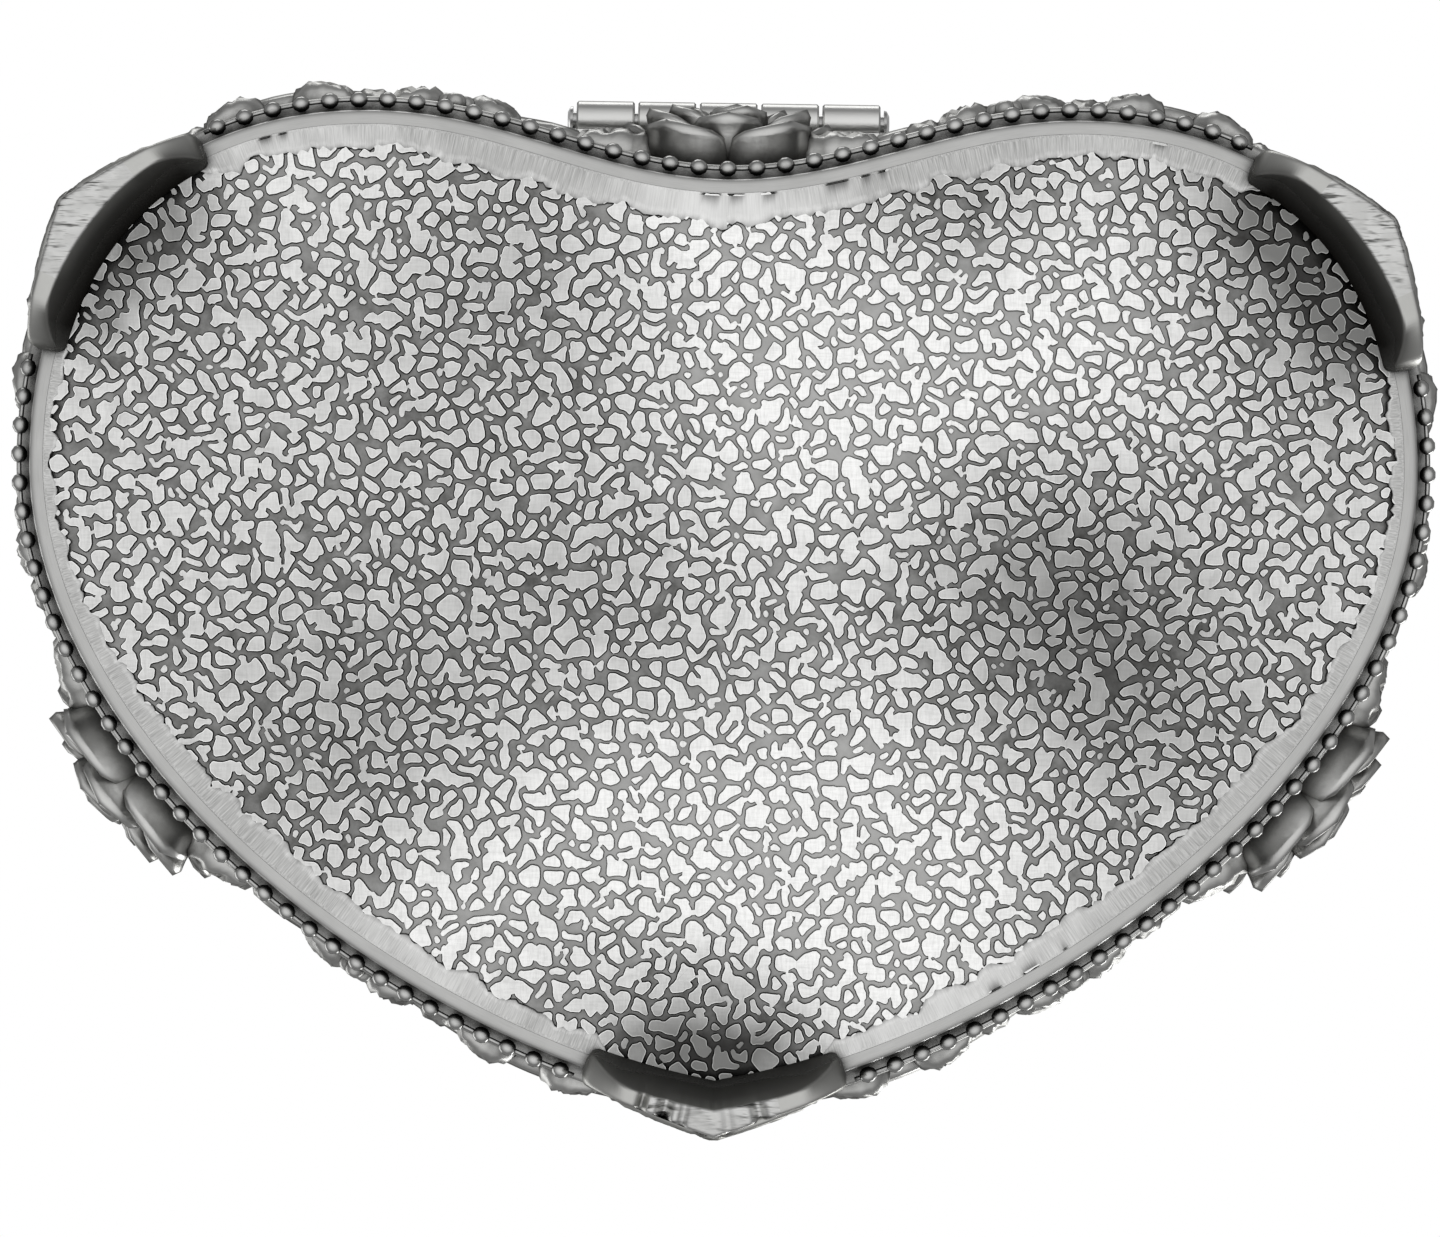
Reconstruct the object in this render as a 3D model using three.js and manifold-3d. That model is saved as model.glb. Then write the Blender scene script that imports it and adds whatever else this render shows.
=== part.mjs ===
// A heart-shaped trinket box in antiqued cast metal.
// A side wall stands on three bracket feet. A base plate is let into it from below and soldered,
// rows of beads run round its foot, and a rose in high relief sits on each flank and in the notch.
// The domed lid has its own beads and roses, and turns on a pinned hinge across the notch at the back.
// A swinging vine in low relief is cast on the wall, and a laurel border with sprays on the lid.
// Velvet lines the floor, the wall and the lid.
// Millimetres. +Z is up, the point of the heart faces -Y, and the box stands on the plane Z = 0.
import * as THREE from "three";
import { mergeVertices, toCreasedNormals } from "three/addons/utils/BufferGeometryUtils.js";
import Module from "manifold-3d";

const wasm = await Module();
wasm.setup();

// The heart line: the line that the foot beads follow, seen from above.
const halfWidth = 44.1; // centre line to the widest point
const heartDepth = 63.2; // back of the lobes to the front point
const lobeX = 22.2; // centre line to the back of a lobe
const notchDepth = 4; // how far the notch lies in front of the lobes
const widestFromBack = 22.7; // back of the lobes to the widest point
const pointRise = 3.1; // how far the flanks climb away from the point
const notchHandle = 7.7; // tangent lengths that shape the curve
const lobeInnerHandle = 8.4;
const lobeOuterHandle = 12.7;
const sideUpperHandle = 14.8;
const sideLowerHandle = 19.1;
const pointHandle = 19.4;

// The heights of the main pieces.
const footHeight = 5;
const wallHeight = 22;
const lipHeight = 1; // the locating lip that the lid drops over
const closingGap = 0.3; // between the wall and the closed lid
const domeHeight = 8;

// Clearances.
const seamGap = 0.2; // a soldered or glued seam
const slideGap = 0.3; // between the lip and the lid

// The side wall's section.
const rimWidth = 1.6; // the smooth rim, from the beads in to the base plate's seam
const rimRound = 0.5;
const wallInside = 2.3; // heart line in to the wall's inner face
const envelopePull = 0.9; // the cutting solids have a flat middle, this share of the way in
const lipOutside = 1.2; // heart line in to the lip's outer face
const panelFace = 0; // the relief panel, out from the heart line
const footMoulding = 0.35; // how far the mouldings stand outside the heart line
const rimMoulding = 0.75;
const wallTopEdge = 0.25;
const grooveShelf = 0.4; // from the beads' groove down the slope to the foot moulding
const footBand = 0.8; // the foot moulding's flat face
const panelStep = 0.6; // from the foot moulding to the panel
const rimSlope = 0.9; // from the panel up to the rim moulding
const rimBand = 1.1; // the rim moulding's flat face
const rimFall = 0.6; // from its face up to the wall's top edge
const topBand = 1.3; // the plain edge over the rim moulding

// The base plate and the linings.
const plateThickness = 1.5;
const velvetThickness = 0.65; // on the wall
const velvetStep = 0.4; // how far the wall's lining ends below the lip
const padEdge = 1.6; // the floor pad's height at its edge
const padCrown = 1.2; // and how much it swells in the middle
const padTuck = 0.3; // how far its underside and top are drawn in from its side
const padShoulder = 0.5;
const lidPadThickness = 1.5;

// Beads.
const beadRadius = 0.52;
const beadPitch = 1.82;
const beadLift = 1.15; // bead centre over the rim's underside
const lidBeadRadius = 0.7;
const lidBeadPitch = 2.9;
const lidBeadOffset = 0.1;

// The lid's section.
const lidOverhang = 0.8; // the lid's rim outside the heart line
const lidBandHeight = 1.65; // the plain band under the lid's beads
const lidRimInside = 0.9; // heart line in to the dome's foot
const lidThickness = 1.5;
const lidLedge = 0.35; // the dome's foot over the beads
const innerLedge = 0.4; // the inner dome starts this far inside the wall's inner face
const innerRise = 1.2; // and this far over the lid's ceiling
const lidPadDrop = 0.5; // the pad's edge over the lid's ceiling
const lidPadGap = 0.4; // between the pad and the lid
const thumbWidth = 8;
const thumbReach = 1.4; // how far the thumb lift stands out of the lid's rim
const thumbRoot = 1; // its middle lies this far behind the front point
const thumbStep = 0.1; // its edges lie this far inside those of the plain band

// Feet, in distances along the heart line from the notch.
const footLength = 17.4;
const sideFootPlace = 42.7;
const footInside = 2.2; // inner face at the base plate
const footSoleInside = 0.75; // inner edge of the sole
const footReach = 1.6; // the knee in the middle of the foot
const footEndRise = 2.3; // the sole climbs by this at each end
const footShoulder = 7.1; // the foot's outer face covers the beads' groove up to here
const footClear = 0.4; // along the rim to the next bead

// Roses: a big one on each flank and in the notch, and one big and two small on the lid.
const roseRadius = 7.6;
const roseDepth = 4.9; // how far a wall rose stands out of the heart line
const flankRosePlace = 79.6; // along the heart line from the notch
const roseHeight = 15.9; // its centre over the ground
const rosePetals = 5;
const leafRise = 0.9; // how far a leaf's edge stands off what it lies on
const lidRoseRadius = 8.4;
const lidRoseStand = 5.2;
const lobeRoseRadius = 5;
const lobeRoseStand = 3.2;
const lobeRosePetals = 4;
const lobeRosePlace = 27;
const lobeRosePull = 0.46; // share of the way from the rim to the middle of the lid
const lobeLeaves = [0.95, 2.7, 4.7]; // how far the leaves are turned round the rose
const wallLeaves = [1.25, -1.25, 1.95, -1.95];
const roseSink = 0.4; // how far the top rose's back is sunk under the dome's crown
const lobeRoseSink = 0.2;

// Relief. Its forms stand on the surface with their bases sunk in it, and come to a ridge or a peak.
const reliefSink = 0.4;
const stemHalfWidth = 0.8;
const stemRise = 0.95;
const stemClear = 0.95; // middle of a stem to the foot of a leaf or flower
const leafPeak = 1.1;
const leafWidest = 0.45; // share of a leaf's length
const flowerRise = 1.1;
const vineFlower = 2.3;
const sprayFlower = 1.9;
const vineSwing = 4.4; // the stem's crests over and under the panel's middle
const crestSpacing = 12;
const vineFlowerPlace = 0.5; // past the panel's middle, towards the crest
const vineLead = 3; // straight stem between the roses' leaves
const vineStart = 9.4; // middle of a rose to the start of the stem
const crestLeaf = [4.9, 2.9, 1.2]; // length, width and lean away from upright
const footLeaf = [4.7, 2.8, 0.75];
const borderInside = 3.6; // dome's foot in to the laurel border
const borderPairs = 22;
const borderLeaf = [6, 2.7, 0.42];
const sprayLeaf = [4.8, 2.7, 0.7];
const sprays = [
  [[9.2, -3.2], [16, -10], [21, -9], [29, -1]],
  [[1.8, -10.2], [3, -15], [12, -18], [16, -14]],
  [[13.6, 5.4], [19, 5], [24, 10], [31, 6.5]],
  [[20.4, 17], [24, 23], [30, 20], [32.5, 14.5]],
];
const sprayLeaves = [0.35, 0.7]; // where its leaves grow, as shares of its length

// Hinge.
const hingeWidth = 20.4;
const knuckleRadius = 1.3;
const knuckleGap = 0.25;
const leafThickness = 1;
const leafClearance = 0.35; // between a leaf's edge and the other leaf's knuckles
const armLap = 0.6; // how far a knuckle's arm runs into its leaf
const pinRadius = 0.6;
const pinClearance = 0.08;
const pinHeadRadius = 0.95;
const pinHead = 0.35;

// How finely curves are stepped.
const stations = 60; // round the whole heart
const padStations = 48;
const barrelSides = 16;

const backY = heartDepth / 2;
const frontY = -heartDepth / 2;
const floorZ = footHeight;
const wallTop = floorZ + wallHeight;
const lidZ = wallTop + closingGap;
const plateTop = floorZ + plateThickness;
const hingeY = backY + lidOverhang;
const hingeZ = wallTop + closingGap / 2;

// The heart line as a path, clockwise from the notch.
function heartLine() {
  const notchY = backY - notchDepth;
  const sideY = backY - widestFromBack;
  const path = new THREE.Path();
  path.moveTo(0, notchY);
  path.bezierCurveTo(notchHandle, notchY, lobeX - lobeInnerHandle, backY, lobeX, backY);
  path.bezierCurveTo(lobeX + lobeOuterHandle, backY, halfWidth, sideY + sideUpperHandle, halfWidth, sideY);
  path.bezierCurveTo(halfWidth, sideY - sideLowerHandle, pointHandle, frontY + pointRise, 0, frontY);
  const flankY = sideY - sideLowerHandle;
  path.bezierCurveTo(-pointHandle, frontY + pointRise, -halfWidth, flankY, -halfWidth, sideY);
  path.bezierCurveTo(-halfWidth, sideY + sideUpperHandle, -lobeX - lobeOuterHandle, backY, -lobeX, backY);
  path.bezierCurveTo(-lobeX + lobeInnerHandle, backY, -notchHandle, notchY, 0, notchY);
  return path;
}
const line = heartLine();
const perimeter = line.getLength();

function onLine(s) {
  const share = s / perimeter;
  return line.getPoint(share - Math.floor(share));
}

// Outward direction at s. The chord is long enough to round the normals over the front point.
const normalReach = 1.5;
function outward(s) {
  const along = onLine(s + normalReach).sub(onLine(s - normalReach)).normalize();
  return new THREE.Vector2(-along.y, along.x);
}

// The point at s along the heart line, offset outwards, at height z.
function place(s, offset, z) {
  const p = onLine(s).addScaledVector(outward(s), offset);
  return new THREE.Vector3(p.x, p.y, z);
}

function signedVolume(points, faces) {
  const cross = new THREE.Vector3();
  let six = 0;
  for (let i = 0; i < faces.length; i += 3) {
    cross.crossVectors(points[faces[i + 1]], points[faces[i + 2]]);
    six += points[faces[i]].dot(cross);
  }
  return six / 6;
}

// A mesh from points and triangles, turned to face outwards.
function shell(points, faces) {
  if (signedVolume(points, faces) < 0) faces.reverse();
  const geometry = new THREE.BufferGeometry().setFromPoints(points);
  geometry.setIndex(faces);
  return geometry;
}

// Joins loops of equally many points. Open ends are closed by a fan round the loop's middle.
function skin(loops, closed) {
  const points = loops.flat();
  const n = loops[0].length;
  const faces = [];
  const joins = closed ? loops.length : loops.length - 1;
  for (let i = 0; i < joins; i++) {
    const a = i * n;
    const b = ((i + 1) % loops.length) * n;
    for (let j = 0; j < n; j++) {
      const k = (j + 1) % n;
      faces.push(a + j, b + j, b + k, a + j, b + k, a + k);
    }
  }
  if (!closed) {
    for (const [first, turned] of [[0, false], [(loops.length - 1) * n, true]]) {
      const middle = new THREE.Vector3();
      for (let j = 0; j < n; j++) middle.addScaledVector(points[first + j], 1 / n);
      points.push(middle);
      for (let j = 0; j < n; j++) {
        const edge = [first + j, first + ((j + 1) % n)];
        if (turned) edge.reverse();
        faces.push(points.length - 1, ...edge);
      }
    }
  }
  return shell(points, faces);
}

// A closed section of [offset, z] carried round the whole heart.
function ring(section, count) {
  const loops = [];
  for (let i = 0; i < count; i++) {
    loops.push(section.map(([offset, z]) => place((i * perimeter) / count, offset, z)));
  }
  return skin(loops, true);
}

// A heart-shaped solid from a profile of [offset, pull, z] that runs from its middle underneath, round
// its edge, to its middle on top. Pull is the share of the way from the edge to the middle.
function disc(profile, count) {
  const loops = profile.map(([offset, pull, z]) => {
    const loop = [];
    for (let i = 0; i < count; i++) {
      const p = place((i * perimeter) / count, offset, z);
      loop.push(new THREE.Vector3(p.x * (1 - pull), p.y * (1 - pull), z));
    }
    return loop;
  });
  return skin(loops, false);
}

function toSolid(geometry) {
  const bare = geometry.clone();
  bare.deleteAttribute("normal");
  bare.deleteAttribute("uv");
  const merged = mergeVertices(bare, 1e-4);
  return new wasm.Manifold(
    new wasm.Mesh({
      numProp: 3,
      vertProperties: new Float32Array(merged.attributes.position.array),
      triVerts: new Uint32Array(merged.index.array),
    }),
  );
}

function fromSolid(solid) {
  const mesh = solid.getMesh();
  const geometry = new THREE.BufferGeometry();
  geometry.setAttribute("position", new THREE.BufferAttribute(new Float32Array(mesh.vertProperties), 3));
  geometry.setIndex(new THREE.BufferAttribute(new Uint32Array(mesh.triVerts), 1));
  return geometry;
}

function union(geometries) {
  return geometries.map(toSolid).reduce((whole, part) => whole.add(part));
}

// Points of a quarter circle from a to b in the section plane, bulging towards the corner.
function quarter([ax, az], [bx, bz], steps) {
  return Array.from({ length: steps + 1 }, (_, i) => {
    const angle = (i / steps) * (Math.PI / 2);
    return [ax + (bx - ax) * Math.sin(angle), az + (bz - az) * (1 - Math.cos(angle))];
  });
}

// The wall's outer face from the seam with the base plate up to its top edge.
const groove = beadRadius + seamGap; // the wall lies this far behind the beads' centres
const grooveTop = floorZ + beadLift + beadRadius + seamGap;
const panelFoot = grooveTop + grooveShelf + footBand + panelStep;
const panelHead = wallTop - topBand - rimFall - rimBand - rimSlope;
function wallFace() {
  return [
    [-rimWidth, floorZ],
    ...quarter([-groove - rimRound, floorZ], [-groove, floorZ + rimRound], 2),
    [-groove, grooveTop],
    [footMoulding, grooveTop + grooveShelf],
    [footMoulding, grooveTop + grooveShelf + footBand],
    [panelFace, panelFoot],
    [panelFace, panelHead],
    [rimMoulding, panelHead + rimSlope],
    [rimMoulding, panelHead + rimSlope + rimBand],
    [wallTopEdge, wallTop - topBand],
    [wallTopEdge, wallTop],
  ];
}

function sideWall() {
  const inside = [
    [-lipOutside, wallTop],
    [-lipOutside, wallTop + lipHeight],
    [-wallInside, wallTop + lipHeight],
    [-wallInside, plateTop + seamGap],
    [-rimWidth, plateTop + seamGap],
  ];
  const plain = toSolid(ring([...wallFace(), ...inside], stations));
  return fromSolid(plain.add(union(wallVine())));
}

// The filled box up to the wall's top, grown by the seam, to cut what is soldered to its outside.
function boxEnvelope() {
  const face = wallFace().map(([offset, z]) => [offset + seamGap, 0, z]);
  const underside = floorZ - seamGap;
  return disc(
    [
      [-rimWidth, envelopePull, underside],
      [-groove - rimRound, 0, underside],
      ...face.slice(2),
      [-rimWidth, envelopePull, wallTop],
    ],
    stations,
  );
}

// The base plate sits in the wall's rabbet, flush with the rim.
function basePlate() {
  const edge = -rimWidth - seamGap;
  return disc(
    [
      [edge, 0, floorZ],
      [edge, 0, plateTop],
    ],
    stations,
  );
}

// A bracket foot along the rim. Share runs from -1 to 1 along the foot, and its middle has a knee.
const footSteps = 12;
function foot(middle, envelope) {
  const loops = [];
  for (let i = 0; i <= footSteps; i++) {
    const share = (2 * i) / footSteps - 1;
    const bend = Math.abs(share);
    const knee = footReach * (1 - bend) + 0.25 * Math.sin(Math.PI * bend) - 0.35 * bend ** 6;
    const sole = footEndRise * Math.max(0, (bend - 0.65) / 0.35) ** 1.5;
    const inner = footSoleInside + (footInside - footSoleInside) * bend ** 5;
    const s = middle + (share * footLength) / 2;
    loops.push([
      place(s, -footInside, floorZ + rimRound),
      place(s, -footInside, floorZ - seamGap),
      place(s, -inner, sole),
      place(s, knee, sole),
      place(s, knee + 0.25, floorZ * 0.6),
      place(s, Math.max(knee * 0.5, 0) + 0.3, footShoulder),
    ]);
  }
  return fromSolid(toSolid(skin(loops, false)).subtract(envelope));
}

// A row of beads from one place on the heart line to another: five-sided, a waist and a belly each.
const beadSides = 5;
const beadWaist = 0.45;
function beadRow(from, to, pitch, radius, offset, z, closed) {
  const count = Math.round((to - from) / pitch);
  const step = (to - from) / count;
  const loops = [];
  const halves = closed ? 2 * count : 2 * count + 1;
  for (let i = 0; i < halves; i++) {
    const s = from + (i * step) / 2;
    const r = i % 2 ? radius : radius * beadWaist;
    const middle = place(s, offset, z);
    const out = outward(s);
    const loop = [];
    for (let j = 0; j < beadSides; j++) {
      const angle = (2 * Math.PI * (j + 0.5)) / beadSides;
      const reach = r * Math.cos(angle);
      const rise = r * Math.sin(angle);
      loop.push(new THREE.Vector3(middle.x + out.x * reach, middle.y + out.y * reach, z + rise));
    }
    loops.push(loop);
  }
  return skin(loops, closed);
}

// A rose that faces +Z is cast in one with its leaves. Each ring of it has its reach as a share of the
// radius, its height as a share of the stand, and whether it follows the outer or the inner petals.
const petalNotch = 0.2; // depth of the notches between the petals
const roseRings = [
  [0.6, -0.25, "outer"],
  [0.96, 0.14, "outer"],
  [1, 0.3, "outer"],
  [0.86, 0.42, "outer"],
  [0.64, 0.3, "inner"],
  [0.68, 0.68, "inner"],
  [0.54, 0.84, "inner"],
  [0.36, 0.6, "bud"],
  [0.33, 0.94, "bud"],
  [0.14, 0.8, "bud"],
];
function rose(radius, stand, petals, leafTurns) {
  const count = 4 * petals;
  const loops = roseRings.map(([reach, height, follows]) => {
    const loop = [];
    for (let i = 0; i < count; i++) {
      const angle = (2 * Math.PI * i) / count;
      const turn = (petals * angle) / 2 + (follows === "inner" ? Math.PI / 2 : 0);
      const swell = follows === "bud" ? 1 : 1 - petalNotch * (1 - Math.abs(Math.sin(turn)));
      const r = radius * reach * swell;
      loop.push(new THREE.Vector3(r * Math.cos(angle), r * Math.sin(angle), stand * height * swell));
    }
    return loop;
  });
  return [skin(loops, false), ...leafTurns.map((turn) => leaf(turn, radius))];
}

// A leaf: pointed at both ends, and folded along its midrib.
function leaf(turn, roseRadius) {
  const g = new THREE.SphereGeometry(1, 6, 3);
  g.scale(0.3 * roseRadius, 0.56 * roseRadius, leafRise);
  const at = g.getAttribute("position");
  for (let i = 0; i < at.count; i++) {
    at.setZ(i, at.getZ(i) + 0.25 * Math.abs(at.getX(i)));
  }
  g.translate(0, roseRadius, 0);
  g.rotateZ(turn);
  return g;
}

// Turns geometry made facing +Z, with +Y up, to face along normal at a point.
function seat(geometries, point, normal, up) {
  const zAxis = normal.clone().normalize();
  const xAxis = new THREE.Vector3().crossVectors(up, zAxis).normalize();
  const yAxis = new THREE.Vector3().crossVectors(zAxis, xAxis);
  const frame = new THREE.Matrix4().makeBasis(xAxis, yAxis, zAxis).setPosition(point);
  return geometries.map((g) => g.applyMatrix4(frame));
}

// A rose on the wall is wrapped round the heart line, so that it follows the curve behind it.
function wallRose(middle, envelope) {
  const pieces = rose(roseRadius, roseDepth, rosePetals, wallLeaves);
  for (const g of pieces) {
    const at = g.getAttribute("position");
    for (let i = 0; i < at.count; i++) {
      const p = place(middle - at.getX(i), at.getZ(i), roseHeight + at.getY(i));
      at.setXYZ(i, p.x, p.y, p.z);
    }
  }
  return fromSolid(union(pieces).subtract(envelope));
}

// The dome's outer surface: share 0 at its edge and 1 in the middle.
const domeEdgeOffset = -lidRimInside;
const domeEdgeZ = lidZ + lidBandHeight + 2 * lidBeadRadius + lidLedge;
function domeRise(pull) {
  return (1 - (1 - pull) ** 2) ** 0.6;
}
function domePoint(s, pull) {
  const p = place(s, domeEdgeOffset, 0);
  return new THREE.Vector3(p.x * (1 - pull), p.y * (1 - pull), domeEdgeZ + domeHeight * domeRise(pull));
}
function domeNormal(s, pull) {
  const step = 0.02;
  const across = domePoint(s + 1, pull).sub(domePoint(s - 1, pull));
  const inwards = domePoint(s, pull + step).sub(domePoint(s, pull - step));
  return new THREE.Vector3().crossVectors(inwards, across).normalize();
}

const domePulls = [0.05, 0.18, 0.42, 0.7];
const dome = [0, ...domePulls].map((pull) => [
  domeEdgeOffset,
  pull,
  domeEdgeZ + domeHeight * domeRise(pull),
]);
const lidGrooveOffset = lidBeadOffset - lidBeadRadius - seamGap;
function lidOutside() {
  return [
    [lidOverhang - slideGap, 0, lidZ],
    [lidOverhang, 0, lidZ + slideGap],
    [lidOverhang, 0, lidZ + lidBandHeight - slideGap],
    [lidOverhang - slideGap, 0, lidZ + lidBandHeight],
    [lidGrooveOffset, 0, lidZ + lidBandHeight],
    [lidGrooveOffset, 0, domeEdgeZ - lidLedge],
    ...dome,
  ];
}

// The lid's shell, from the middle of its inner face out over the lip and round the rim to the top.
const lidCeiling = wallTop + lipHeight + slideGap;
const innerDomeOffset = -wallInside - innerLedge;
const innerDomeZ = lidCeiling + innerRise;
const innerDomeHeight = domeEdgeZ + domeHeight - lidThickness - innerDomeZ;
const innerPulls = [0.1, 0.35, 0.7];
function innerDome(pull) {
  return [innerDomeOffset, pull, innerDomeZ + innerDomeHeight * domeRise(pull)];
}
function lidShell() {
  const inside = [
    ...innerPulls.toReversed().map(innerDome),
    innerDome(0),
    [innerDomeOffset, 0, lidCeiling],
    [-lipOutside + slideGap, 0, lidCeiling],
    [-lipOutside + slideGap, 0, lidZ],
  ];
  const thumb = new THREE.SphereGeometry(1, 10, 4);
  const thumbDepth = lidOverhang + thumbReach + thumbRoot;
  thumb.scale(thumbWidth / 2, thumbDepth, lidBandHeight / 2 - thumbStep);
  thumb.translate(0, frontY + thumbRoot, lidZ + lidBandHeight / 2);
  const opening = disc(
    [
      [-lipOutside + slideGap, envelopePull, wallTop],
      [-lipOutside + slideGap, 0, wallTop],
      [-lipOutside + slideGap, 0, lidZ + lidBandHeight],
      [-lipOutside + slideGap, envelopePull, lidZ + lidBandHeight],
    ],
    stations,
  );
  const lift = toSolid(thumb).subtract(toSolid(opening));
  const plain = toSolid(disc([...inside, ...lidOutside()], stations));
  return fromSolid(plain.add(lift).add(union(lidSprays())));
}

// The filled lid, grown by the seam, to cut the roses that are soldered on it.
function lidEnvelope() {
  const grown = dome.map(([offset, pull, z]) => [offset + seamGap, pull, z + seamGap]);
  return disc([[domeEdgeOffset, envelopePull, lidZ], [domeEdgeOffset, 0, lidZ], ...grown], stations);
}

function lidRose(point, normal, radius, stand, petals, leafTurns, envelope) {
  const pieces = rose(radius, stand, petals, leafTurns);
  const solid = union(seat(pieces, point, normal, new THREE.Vector3(0, 1, 0)));
  return fromSolid(solid.subtract(envelope));
}

// Relief forms are drawn in two coordinates across a surface, and a height over it.
function onWall(s, z, height) {
  return place(s, panelFace + height, z);
}

// The dome's edge as [angle, reach] pairs, by which the height of any point on the dome is found.
const domeEdge = Array.from({ length: 720 }, (_, i) => place((i * perimeter) / 720, domeEdgeOffset, 0))
  .map((p) => [Math.atan2(p.y, p.x), Math.hypot(p.x, p.y)])
  .sort((a, b) => a[0] - b[0]);

function domeHeightAt(x, y) {
  const round = 2 * Math.PI;
  const angle = Math.atan2(y, x);
  const i = Math.max(0, domeEdge.findIndex(([a]) => a > angle));
  const [a1, r1] = domeEdge[i];
  const [a0, r0] = domeEdge.at(i - 1);
  const share = ((angle - a0 + round) % round) / ((a1 - a0 + round) % round);
  const pull = 1 - Math.hypot(x, y) / (r0 + (r1 - r0) * share);
  return domeEdgeZ + domeHeight * domeRise(Math.max(0, pull));
}

function onLid(x, y, height) {
  const step = 0.25;
  const slopeX = (domeHeightAt(x + step, y) - domeHeightAt(x - step, y)) / (2 * step);
  const slopeY = (domeHeightAt(x, y + step) - domeHeightAt(x, y - step)) / (2 * step);
  const normal = new THREE.Vector3(-slopeX, -slopeY, 1).normalize();
  return new THREE.Vector3(x, y, domeHeightAt(x, y)).addScaledVector(normal, height);
}

function onLidEdge(s, inwards, height) {
  const p = place(s, domeEdgeOffset - inwards, 0);
  return onLid(p.x, p.y, height);
}

// A stem is a ridge along a path. Its end points lie on the ground.
function stem(surface, path) {
  const last = path.length - 1;
  const loops = path.map(([a, b], i) => {
    const [a0, b0] = path[Math.max(i - 1, 0)];
    const [a1, b1] = path[Math.min(i + 1, last)];
    const length = Math.hypot(a1 - a0, b1 - b0);
    const sideA = (-(b1 - b0) / length) * stemHalfWidth;
    const sideB = ((a1 - a0) / length) * stemHalfWidth;
    return [
      surface(a + sideA, b + sideB, -reliefSink),
      surface(a, b, i === 0 || i === last ? 0 : stemRise),
      surface(a - sideA, b - sideB, -reliefSink),
    ];
  });
  return skin(loops, false);
}

// A peak over an outline of points round a middle.
function peak(surface, outline, [a, b], rise) {
  const grow = (rise + reliefSink) / rise;
  const points = outline.map(([u, v]) => surface(a + (u - a) * grow, b + (v - b) * grow, -reliefSink));
  points.push(surface(a, b, rise), surface(a, b, -reliefSink));
  const n = outline.length;
  const faces = [];
  for (let i = 0; i < n; i++) {
    const next = (i + 1) % n;
    faces.push(i, next, n, next, i, n + 1);
  }
  return shell(points, faces);
}

// A leaf that starts at a, b and points along heading, as a four-sided peak.
function reliefLeaf(surface, a, b, heading, [length, width]) {
  const at = (ahead, aside) => [
    a + Math.cos(heading) * ahead - Math.sin(heading) * aside,
    b + Math.sin(heading) * ahead + Math.cos(heading) * aside,
  ];
  const widest = leafWidest * length;
  const outline = [at(0, 0), at(widest, -width / 2), at(length, 0), at(widest, width / 2)];
  return peak(surface, outline, at(widest, 0), leafPeak);
}

function reliefFlower(surface, a, b, radius) {
  const outline = Array.from({ length: 5 }, (_, i) => {
    const angle = (2 * Math.PI * i) / 5;
    return [a + radius * Math.cos(angle), b + radius * Math.sin(angle)];
  });
  return peak(surface, outline, [a, b], flowerRise);
}

// The vine between two roses: a swinging stem with leaves and a flower at each crest.
function vine(from, to) {
  const start = from + vineStart + vineLead;
  const stop = to - vineStart - vineLead;
  const crests = Math.round((stop - start) / crestSpacing);
  const steps = 3 * crests;
  const path = [[start - vineLead, roseHeight]];
  for (let i = 0; i <= steps; i++) {
    const a = start + ((stop - start) * i) / steps;
    path.push([a, roseHeight + vineSwing * Math.sin((Math.PI * i) / 3)]);
  }
  path.push([stop + vineLead, roseHeight]);
  const pieces = [stem(onWall, path)];
  for (let k = 0; k < crests; k++) {
    const side = k % 2 === 0 ? 1 : -1;
    const upright = (side * Math.PI) / 2;
    const a = start + ((k + 0.5) * (stop - start)) / crests;
    const flower = roseHeight + side * vineFlowerPlace;
    const over = roseHeight + side * (vineSwing + stemClear);
    const under = flower - side * (vineFlower + stemClear - stemHalfWidth);
    pieces.push(reliefFlower(onWall, a, flower, vineFlower));
    for (const lean of [-1, 1]) {
      const aside = lean * side * stemHalfWidth;
      pieces.push(reliefLeaf(onWall, a - aside, over, upright + lean * crestLeaf[2], crestLeaf));
      pieces.push(reliefLeaf(onWall, a + aside, under, lean * footLeaf[2] - upright, footLeaf));
    }
  }
  return pieces;
}

function wallVine() {
  return [
    ...vine(0, flankRosePlace),
    ...vine(flankRosePlace, perimeter - flankRosePlace),
    ...vine(perimeter - flankRosePlace, perimeter),
  ];
}

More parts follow.
